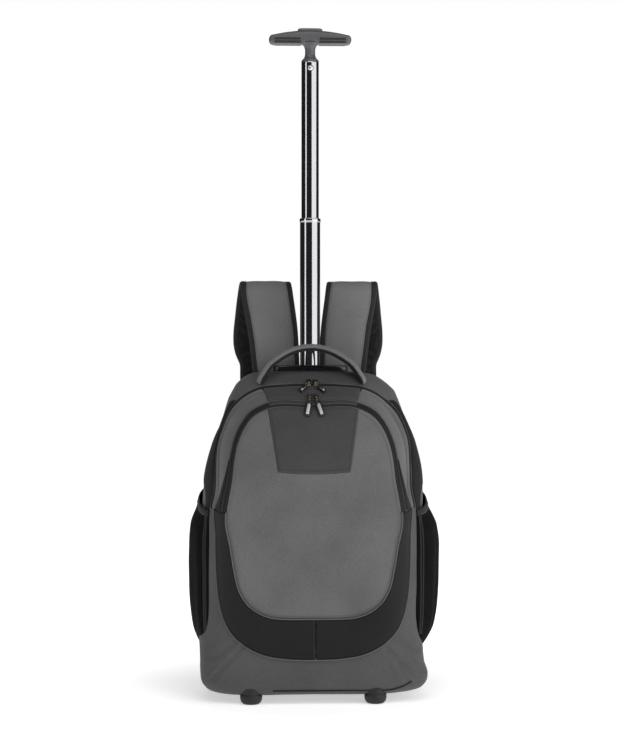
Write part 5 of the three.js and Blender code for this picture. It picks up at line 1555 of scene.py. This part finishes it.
# share of the way down, bow in millimetres and share of the way across
WEBBING_PATH = [
    (0, 0, 0), (0.06, 0, 0), (0.25, 5, 0.2), (0.5, 12, 0.5), (0.75, 15, 0.75), (0.94, 6, 0.97), (1, 0, 1)]
for name, side in SIDES:
    low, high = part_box(f"ladder_lock_{name}")
    inset = LOCK_BAR / 2
    y = (low.y + high.y) / 2
    ring = [Vector((x, y, z)) for x, z in rounded_rectangle(
        low.x + inset, low.z + inset, high.x - inset, high.z - inset, 3 * MM, 5)]
    frame_bar = sweep(
        f"lock_frame_{name}", ring, BLACK_NYLON, 5 * MM, LOCK_BAR, [Vector((0, -1, 0))] * len(ring), 12, 3,
        closed=True)
    dress(frame_bar, "root", "black_plastic", f"ladder_lock_{name}")
    middle = (low.z + high.z) / 2
    for label, lift in (("middle", 0.0), ("lip", -7 * MM)):
        ends = [Vector((x, y - (1.2 * MM if lift else 0), middle + lift))
                for x in np.linspace(low.x + LOCK_BAR / 2, high.x - LOCK_BAR / 2, 8)]
        rung = sweep(f"lock_rung_{label}_{name}", ends, BLACK_NYLON, 3.4 * MM, 3.0 * MM, None, 12, 2.6)
        dress(rung, "root", "black_plastic")

    top = Vector(((low.x + high.x) / 2, y, low.z - 0.3 * MM))
    foot = Vector((side * 0.140, bag_back(0.1275, 0.096) + 1.5 * MM, 0.096))
    rows = [
        (top.x + (foot.x - top.x) * across, top.y + (foot.y - top.y) * share + bow * MM,
         top.z + (foot.z - top.z) * share) for share, bow, across in WEBBING_PATH]
    line = [Vector(row) for row in spline_through(rows, 60)]
    strip = sweep(
        f"lower_webbing_{name}", line, WEBBING, 25 * MM, 1.8 * MM, [Vector((0, 1, 0))] * 60, 16, 6)
    dress(strip, "root", "black_trim", f"lower_webbing_{name}")
    turns = np.linspace(0, 2 * math.pi, 24, endpoint=False)
    loop_line = [Vector((top.x, y + 2.4 * MM * math.sin(t), middle - 5 * MM + 6 * MM * math.cos(t)))
                 for t in turns]
    loop_ups = [Vector((0, math.sin(t), math.cos(t))) for t in turns]
    loop = sweep(f"lock_webbing_{name}", loop_line, WEBBING, 24 * MM, 1.5 * MM, loop_ups, 12, 6, closed=True)
    dress(loop, "root", "black_trim")

# %% [markdown]
# ## The running gear
# Two rubber wheels turn in nylon housings at the back corners, and two feet hold the front up. A housing is
# a rounded block with a well cut out for its wheel, so it is made as the block and cut with a boolean.
# The same block, a little smaller, is cut out of the bag's cloth, where the real bag is riveted to it.

# %% Housings and the holes that they sit in
WHEEL_RADIUS, WHEEL_WIDTH, WHEEL_X = 36 * MM, 22 * MM, 120 * MM
AXLE_LOW, AXLE_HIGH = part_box("axle_right")
WHEEL_Y = (AXLE_LOW.y + AXLE_HIGH.y) / 2


def housing_block(name, low, high, corner, edge, material):
    """A block with rounded side corners, its edges bevelled, between two corners of a box."""
    outline = rounded_rectangle(low.y, low.z, high.y, high.z, corner, 8)
    middle_y, middle_z = (low.y + high.y) / 2, (low.z + high.z) / 2
    points = []
    levels = [(low.x, edge), (low.x + edge * 0.3, edge * 0.3), (low.x + edge, 0.0)]
    levels += [(high.x - (x - low.x), inset) for x, inset in reversed(levels)]
    for x, inset in levels:
        for y, z in outline:
            points.append(Vector((
                x, y - math.copysign(min(inset, abs(y - middle_y)), y - middle_y),
                z - math.copysign(min(inset, abs(z - middle_z)), z - middle_z))))
    return mesh_object(name, points, ring_faces(len(levels), len(outline)), material, smooth=False)


def cut_out(piece, cutter):
    """Take the cutter's shape out of a piece."""
    cut = piece.modifiers.new("cut", "BOOLEAN")
    cut.operation, cut.solver, cut.object = "DIFFERENCE", "EXACT", cutter
    apply_modifiers(piece)
    bpy.data.objects.remove(cutter)


for name, side in SIDES:
    low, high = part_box(f"wheel_housing_{name}")
    block = housing_block(f"wheel_housing_{name}", low, high, 12 * MM, 2.5 * MM, BLACK_NYLON)
    centre = Vector((side * WHEEL_X, WHEEL_Y, WHEEL_RADIUS))
    half_well = WHEEL_WIDTH / 2 + 3 * MM
    well_radius = WHEEL_RADIUS + 3 * MM
    well = turned(
        "well", [(0.0, -half_well), (well_radius, -half_well), (well_radius, half_well), (0.0, half_well)],
        BLACK_NYLON, centre, "X", 64)
    cut_out(block, well)
    dress(block, "root", "black_plastic", f"wheel_housing_{name}")
    spare = Vector((1.5 * MM, 1.5 * MM, 1.5 * MM))
    hole = housing_block("hole", low + spare, high - spare, 11 * MM, 1.0 * MM, BLACK_NYLON)
    cut_out(bag, hole)
shade_smooth(bag.data)

# %% Wheels, axles and feet
def wheel(name, side):
    """A rubber tyre with two grooves on a nylon core with a sunk hub and six webs."""
    centre = Vector((side * WHEEL_X, WHEEL_Y, WHEEL_RADIUS))
    half = WHEEL_WIDTH / 2
    rim = 26 * MM
    tread = [
        (rim, -half + 1.5 * MM), (WHEEL_RADIUS - 6 * MM, -half), (WHEEL_RADIUS - 3 * MM, -half + 0.5 * MM),
        (WHEEL_RADIUS - 1 * MM, -half + 2 * MM), (WHEEL_RADIUS, -half + 4.5 * MM), (WHEEL_RADIUS, -4 * MM),
        (WHEEL_RADIUS - 1.2 * MM, -3.6 * MM), (WHEEL_RADIUS - 1.2 * MM, -2.6 * MM), (WHEEL_RADIUS, -2.2 * MM)]
    profile = tread + [(radius, -x) for radius, x in reversed(tread)] + [tread[0]]
    tyre = turned(f"tyre_{name}", profile, RUBBER, centre, "X", 72)
    dress(tyre, f"{name}_wheel", "rubber", f"wheel_{name}")
    face = half - 3 * MM
    disc = [
        (4.4 * MM, -half + 1 * MM), (8 * MM, -half + 1 * MM), (9 * MM, -face), (21 * MM, -face),
        (22.5 * MM, -half + 1.6 * MM), (rim, -half + 1.6 * MM)]
    core_profile = disc + [(radius, -x) for radius, x in reversed(disc)] + [disc[0]]
    core = turned(f"wheel_core_{name}", core_profile, WHEEL_CORE, centre, "X", 60)
    dress(core, f"{name}_wheel", "black_plastic")
    for k in range(6):
        turn = 2 * math.pi * k / 6 + 0.3
        out = Vector((0, math.cos(turn), math.sin(turn)))
        line = [centre + out * radius for radius in np.linspace(7.5 * MM, 22 * MM, 6)]
        web = sweep(
            f"wheel_web_{name}_{k}", line, WHEEL_CORE, 2 * (half - 1.8 * MM), 3 * MM,
            [Vector((0, -math.sin(turn), math.cos(turn)))] * 6, 12, 5)
        dress(web, f"{name}_wheel", "black_plastic")


for name, side in SIDES:
    wheel(name, side)
    low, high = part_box(f"axle_{name}")
    centre = Vector((0.0, WHEEL_Y, WHEEL_RADIUS))
    reach = 1.2 * MM
    pin = [
        (0.0, low.x - reach), (3.0 * MM, low.x - reach), (5.2 * MM, low.x - 0.3 * MM), (5.2 * MM, low.x),
        (4.0 * MM, low.x), (4.0 * MM, high.x), (5.2 * MM, high.x), (5.2 * MM, high.x + 0.3 * MM),
        (3.0 * MM, high.x + reach), (0.0, high.x + reach)]
    dress(turned(f"axle_{name}", pin, GUNMETAL, centre, "X", 32), "root", "gunmetal", f"axle_{name}")
    low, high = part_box(f"foot_{name}")
    middle = Vector(((low.x + high.x) / 2, (low.y + high.y) / 2, 0.0))
    radius = (high.x - low.x) / 2
    foot = [
        (0.0, 3.0), (3.4, 3.0), (3.8, 0.2), (9.5, 0.0), (12.2, 0.5), (14.3, 1.9), (15.8, 4.2), (16.7, 7.0),
        (17.0, 10.0), (17.0, 13.4), (16.2, 14.6), (15.4, 15.4), (15.4, 24.0), (0.0, 24.0)]
    profile = [(min(r * MM, radius), h * MM) for r, h in foot]
    dress(turned(f"foot_{name}", profile, RUBBER, middle, "Z", 48), "root", "black_plastic", f"foot_{name}")

# %% [markdown]
# ## The pole's port
# Where the pole comes out, a glossy bezel is sewn into the bag's top. It is a ring whose outside is a rounded
# rectangle and whose inside is the pole's round hole, so each of its rows blends from the one to the other.

# %% Bezel round the pole
def bezel_outline(inset, turn):
    """A place on the bezel's rounded rectangle, moved inwards, in one direction from its middle."""
    half_x, half_y = PORT_HIGH.x - inset, (PORT_HIGH.y - PORT_LOW.y) / 2 - inset
    c, s = abs(math.cos(turn)), abs(math.sin(turn))
    reach = 1 / ((c / half_x) ** 6 + (s / half_y) ** 6) ** (1 / 6)
    return reach * math.cos(turn), reach * math.sin(turn)


port_middle_y = (PORT_LOW.y + PORT_HIGH.y) / 2
hole_radius = guide_high.x + 0.3 * MM
low_z, high_z = PORT_LOW.z, PORT_HIGH.z
# share of the way from the outside to the hole, how far the outside is moved inwards, and height
port_rows = [
    (0.0, 0.0, low_z - 1.0 * MM), (0.0, 0.0, low_z + 2.0 * MM), (0.0, 0.3 * MM, high_z - 3.0 * MM),
    (0.0, 1.0 * MM, high_z - 1.4 * MM), (0.0, 2.2 * MM, high_z - 0.5 * MM),
    (0.0, 4.0 * MM, high_z - 0.2 * MM), (0.0, 6.0 * MM, high_z - 0.7 * MM),
    (0.55, 6.0 * MM, high_z - 1.0 * MM), (0.86, 6.0 * MM, high_z - 0.8 * MM), (0.93, 6.0 * MM, high_z),
    (0.98, 6.0 * MM, high_z + 0.2 * MM), (1.0, 6.0 * MM, high_z - 0.3 * MM),
    (1.0, 6.0 * MM, low_z - 1.0 * MM)]
points, count = [], 128
for inward, inset, z in port_rows:
    for k in range(count):
        turn = 2 * math.pi * k / count
        x, y = bezel_outline(inset, turn)
        hx, hy = hole_radius * math.cos(turn), hole_radius * math.sin(turn)
        points.append(Vector((x + (hx - x) * inward, port_middle_y + y + (hy - y) * inward, z)))
port = mesh_object("pole_port", points, ring_faces(len(port_rows), count, closed=True), PORT_ABS)
dress(port, "root", "black_plastic", "handle_port")

# %% [markdown]
# ## Zip sliders and pulls
# Each zip has two sliders that meet in the middle. A slider is a small die-cast body with a bridge on top,
# and a moulded rubber tab with a plain pale inlay hangs from it by a wire loop. All are bent over the bag's
# front by placing their points by place across, place up and height above the cloth.

# %% Sliders, loops and tabs
def on_front(x, z, height):
    """A point at a height above the dressed front at a place across and up."""
    angle, reach = face_place(x, z)
    return front_point(angle, reach) + front_normal(angle, max(reach, 0.02)) * height


def plate(name, place, lean, outline, heights, material):
    """A small plate over the front: its outline is drawn round a place and turned by a lean."""
    c, s = math.cos(lean), math.sin(lean)
    points = []
    for inset, height in heights:
        for u, v in outline:
            length = math.hypot(u, v)
            u, v = u * (1 - inset / length), v * (1 - inset / length)
            points.append(on_front(place[0] + u * c - v * s, place[1] + u * s + v * c, height))
    return mesh_object(name, points, ring_faces(len(heights), len(outline)), material)


def rounded_box(half_u, half_v, corner):
    """A rounded rectangle round the origin."""
    return rounded_rectangle(-half_u, -half_v, half_u, half_v, corner, 6)


# name, side, lean outwards in degrees, tab width and length in millimetres
PULLS = [
    ("main_zip_left", -1, 50, 6, 13), ("main_zip_right", 1, 50, 6, 14),
    ("front_zip_left", -1, 12, 10, 21), ("front_zip_right", 1, 19, 10, 22),
]
for name, side, lean, wide, long in PULLS:
    low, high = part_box(f"{name}_slider")
    x, z = (low.x + high.x) / 2, (low.z + high.z) / 2
    body_outline = rounded_box(3.4 * MM, 5.2 * MM, 1.6 * MM)
    body_heights = [(0.0, 1.4 * MM), (0.0, 3.2 * MM), (0.4 * MM, 3.9 * MM), (1.2 * MM, 4.2 * MM)]
    body = plate(f"{name}_slider", (x, z), 0.0, body_outline, body_heights, GUNMETAL)
    dress(body, "root", "gunmetal", f"{name}_slider")
    bridge_line = [on_front(x, z + v * MM, h * MM) for v, h in (
        (3.6, 3.8), (3.2, 5.0), (1.6, 5.8), (-1.0, 5.9), (-2.8, 5.2), (-3.2, 3.8))]
    bridge = sweep(f"{name}_bridge", bridge_line, GUNMETAL, 2.6 * MM, 1.2 * MM, None, 10, 3)
    dress(bridge, "root", "gunmetal")
    turn = math.radians(side * lean)
    down = (math.sin(turn), -math.cos(turn))
    hang = (x, z - 2.5 * MM)
    loop_line = []
    for k in range(20):
        t = 2 * math.pi * k / 20
        along, across = 3.4 * MM * (1 - math.cos(t)), 2.3 * MM * math.sin(t)
        loop_line.append(on_front(
            hang[0] + down[0] * along - down[1] * across, hang[1] + down[1] * along + down[0] * across,
            (5.2 - 0.5 * (1 - math.cos(t))) * MM))
    loop = sweep(f"{name}_loop", loop_line, GUNMETAL, 1.2 * MM, 1.2 * MM, None, 8, closed=True)
    dress(loop, "root", "gunmetal")
    reach = 5.2 * MM + long * MM / 2
    middle = (hang[0] + down[0] * reach, hang[1] + down[1] * reach)
    tab_outline = rounded_box(wide * MM / 2, long * MM / 2, wide * MM * 0.3)
    tab_heights = [(0.4 * MM, 2.4 * MM), (0.0, 2.8 * MM), (0.0, 4.0 * MM), (0.5 * MM, 4.6 * MM)]
    tab = plate(f"{name}_tab", middle, turn, tab_outline, tab_heights, RUBBER)
    dress(tab, "root", "rubber", f"{name}_tab")
    inlay_outline = rounded_box(wide * MM * 0.24, long * MM * 0.36, wide * MM * 0.14)
    inlay = plate(
        f"{name}_inlay", middle, turn, inlay_outline, [(0.0, 4.3 * MM), (0.1 * MM, 4.8 * MM)], TAB_INSERT)
    dress(inlay, "root", "rubber")

# %% [markdown]
# ## Stitching
# Every panel is sewn down with a line of stitches a few millimetres inside its edge. They are small rounded
# bars, three and a half millimetres apart, put along each seam by the same tree that placed the zip teeth.

# %% Rows of stitches
STITCH_PITCH = 3.6 * MM


def stitch_row(name, line, ups, material):
    """Stitches along a line."""
    dress(repeat_along(name, line, ups, STITCH, STITCH_PITCH, 1.0, material), "root", "pale_cloth")


def arch_row(name, angles, reach, lift, material):
    """Stitches along a line of the bag's front at one reach."""
    line, ups = front_line(angles, reach, lift)
    stitch_row(name, line, ups, material)


arch_row("stitches_panel_inner", low_angles, outside_face(5 * MM), 1.4 * MM, DARK_THREAD)
arch_row("stitches_panel_outer", low_angles, 1.90, 1.4 * MM, DARK_THREAD)
FRONT_ZIP_REACH = SEAM_GAP + FRONT_ZIP_WIDTH
arch_row("stitches_front_tape", high_angles, outside_face(FRONT_ZIP_REACH + 1.6 * MM), 0.1 * MM, THREAD)
PATCH_ANGLE = 0.41  # half the angle that the patch takes up at the top of the face
face_angles = np.linspace(math.pi / 2 + PATCH_ANGLE, 2.5 * math.pi - PATCH_ANGLE, 380)
arch_row("stitches_face", face_angles, 0.972, 0.2 * MM, THREAD)
arch_row("stitches_gusset", high_angles, 1.965, 0.1 * MM, THREAD)
top_low_reach = outside_face(FRONT_ZIP_REACH + SEAM_GAP + 2.5 * MM)
arch_row("stitches_top_low", top_angles, top_low_reach, 1.2 * MM, THREAD)
for label, row in (("foot", 2), ("top", -3)):
    line = [p + n * 1.4 * MM for p, n in zip(patch_rows[row][2:-2], patch_normals[row][2:-2])]
    stitch_row(f"stitches_patch_{label}", line, patch_normals[row][2:-2], DARK_THREAD)
for label, column in (("left", 2), ("right", -3)):
    line = [r[column] + n[column] * 1.4 * MM for r, n in zip(patch_rows[2:-2], patch_normals[2:-2])]
    stitch_row(f"stitches_patch_{label}", line, [n[column] for n in patch_normals[2:-2]], DARK_THREAD)

# %% Base piping
base_line, base_ups = [], []
for x in np.linspace(-0.062, 0.150, 80):
    z = BOTTOM + 9 * MM + 10 * MM * max(0.0, (abs(x) - 0.11) / 0.04) ** 2
    turn = turn_at_x(z, x) if x >= 0 else -math.pi - turn_at_x(z, x)
    place, out = ring_point(z, turn), ring_normal(z, turn)
    base_line.append(place + out * 0.6 * MM)
    base_ups.append(out)
dress(sweep("base_piping", base_line, BINDING, 2.2 * MM, ups=base_ups, sides=8), "root", "black_trim")

# %% [markdown]
# ## Uneven packing
# A stuffed bag is never quite even. In the photograph its right shoulder stands out further than its left
# and its right foot is pushed out over the floor, so the sewn pieces are moved a few millimetres with the
# bag's sides, by a short table of heights for each side.

# %% Move the sides with what is packed in the bag
# height in metres and move outwards in millimetres
FULLER = {
    -1: [(0.0, 0), (0.03, 3), (0.06, 2), (0.095, 4), (0.12, 0), (0.30, -1), (0.36, -3), (0.42, -4),
         (0.445, 0), (0.465, 4), (0.487, 4), (0.50, 0)],
    1: [(0.0, 3), (0.017, 5), (0.030, 8), (0.042, 7), (0.056, 2), (0.09, -1), (0.13, -5), (0.17, 0),
        (0.30, 1), (0.36, 3), (0.42, 5), (0.445, 7), (0.462, 10), (0.477, 12), (0.487, 8), (0.497, 3),
        (0.51, 0)],
}
SAG = 4.5 * MM
ring_heights = np.linspace(BOTTOM, BOTTOM + HEIGHT, 300)
ring_halves = np.array([section(z)[0] for z in ring_heights])


def pack_fuller(piece):
    """Move a sewn piece with the bag's sides."""
    flat = np.empty(len(piece.data.vertices) * 3)
    piece.data.vertices.foreach_get("co", flat)
    spots = flat.reshape(-1, 3)
    share = np.abs(spots[:, 0]) / np.interp(spots[:, 2], ring_heights, ring_halves)
    weight = np.clip((share - 0.88) / 0.12, 0.0, 1.0)
    weight = weight * weight * (3 - 2 * weight)
    for side, table in FULLER.items():
        moved = np.interp(spots[:, 2], [row[0] for row in table], [row[1] * MM for row in table])
        spots[:, 0] += side * (spots[:, 0] * side > 0) * weight * moved
    low, ahead = np.clip((0.045 - spots[:, 2]) / 0.028, 0.0, 1.0), np.clip(-spots[:, 1] / 0.05, 0.0, 1.0)
    spots[:, 2] -= SAG * low * ahead
    piece.data.vertices.foreach_set("co", spots.ravel())
    piece.data.update()


sewn = [o for o in DRESSED if o.name.startswith((
    "main_bag", "side_band", "main_zip", "top_panel", "lower_panel", "panel_piping", "base_piping",
    "stitches_gusset", "stitches_panel_outer", "pocket_gusset"))]
for piece in sewn:
    pack_fuller(piece)
print("moved with the packing:", len(sewn), "pieces")

# %% [markdown]
# ## Floor and light
# The photograph is a studio shot on pure white. The bag stands on a white floor that is lit from below away
# from the bag, as a light table is, so that it runs into the white surround and only a soft shadow is left
# under the base. The room that lights the bag is dim: a broad soft lamp at the front right, a narrow one at
# the front left, one overhead and one behind. The first two draw the bright stripes down the chrome pole,
# with the dark room between them.

# %% Floor, surround and lamps
floor_material, tree, shader, place = new_material("studio_floor_white")
from_bag = add_node(tree, "ShaderNodeVectorMath", {0: place}, operation="LENGTH").outputs["Value"]
glow = add_node(
    tree, "ShaderNodeMapRange",
    {"Value": from_bag, "From Min": 0.18, "From Max": 0.55, "To Min": 0.50, "To Max": 1.0}).outputs[0]
feed(tree, shader, {
    "Emission Strength": glow, "Emission Color": linear("#ffffff"), "Base Color": linear("#f2f2f2"),
    "Roughness": 0.9, "Specular IOR Level": 0.1})
floor = mesh_object(
    "floor", [(-6, -6, 0), (6, -6, 0), (6, 6, 0), (-6, 6, 0)], [(0, 1, 2, 3)], floor_material, smooth=False)

ROOM_LIGHT, BACKDROP = 0.03, 1.0
world = bpy.data.worlds.new("studio")
bpy.context.scene.world = world
world.use_nodes = True
world_tree = world.node_tree
direct = add_node(world_tree, "ShaderNodeLightPath").outputs["Is Camera Ray"]
strength = add_node(
    world_tree, "ShaderNodeMapRange", {"Value": direct, "To Min": ROOM_LIGHT, "To Max": BACKDROP}).outputs[0]
feed(world_tree, world_tree.nodes["Background"], {"Strength": strength, "Color": linear("#ffffff")})
bpy.context.scene.view_settings.view_transform = "Standard"


def soft_light(name, bearing, distance, height, width, tall, radiance):
    """A rectangular soft lamp at a bearing from the camera's side of the bag, turned to the bag."""
    data = bpy.data.lights.new(name, "AREA")
    data.shape, data.size, data.size_y = "RECTANGLE", width, tall
    data.energy = radiance * math.pi * width * tall
    lamp = bpy.data.objects.new(name, data)
    bpy.context.scene.collection.objects.link(lamp)
    turn = math.radians(bearing)
    lamp.location = (distance * math.sin(turn), -distance * math.cos(turn), height)
    lamp.rotation_euler = (Vector((0, 0, 0.55)) - lamp.location).to_track_quat("-Z", "Y").to_euler()
    return lamp


soft_light("broad_right", 54, 2.2, 1.0, 2.9, 2.6, 2.0)
soft_light("strip_left", -59, 2.2, 1.0, 0.62, 2.6, 2.1)
soft_light("overhead", 0, 1.5, 2.7, 2.6, 1.7, 1.8)
soft_light("behind", 180, 2.4, 2.7, 2.6, 1.2, 1.6)
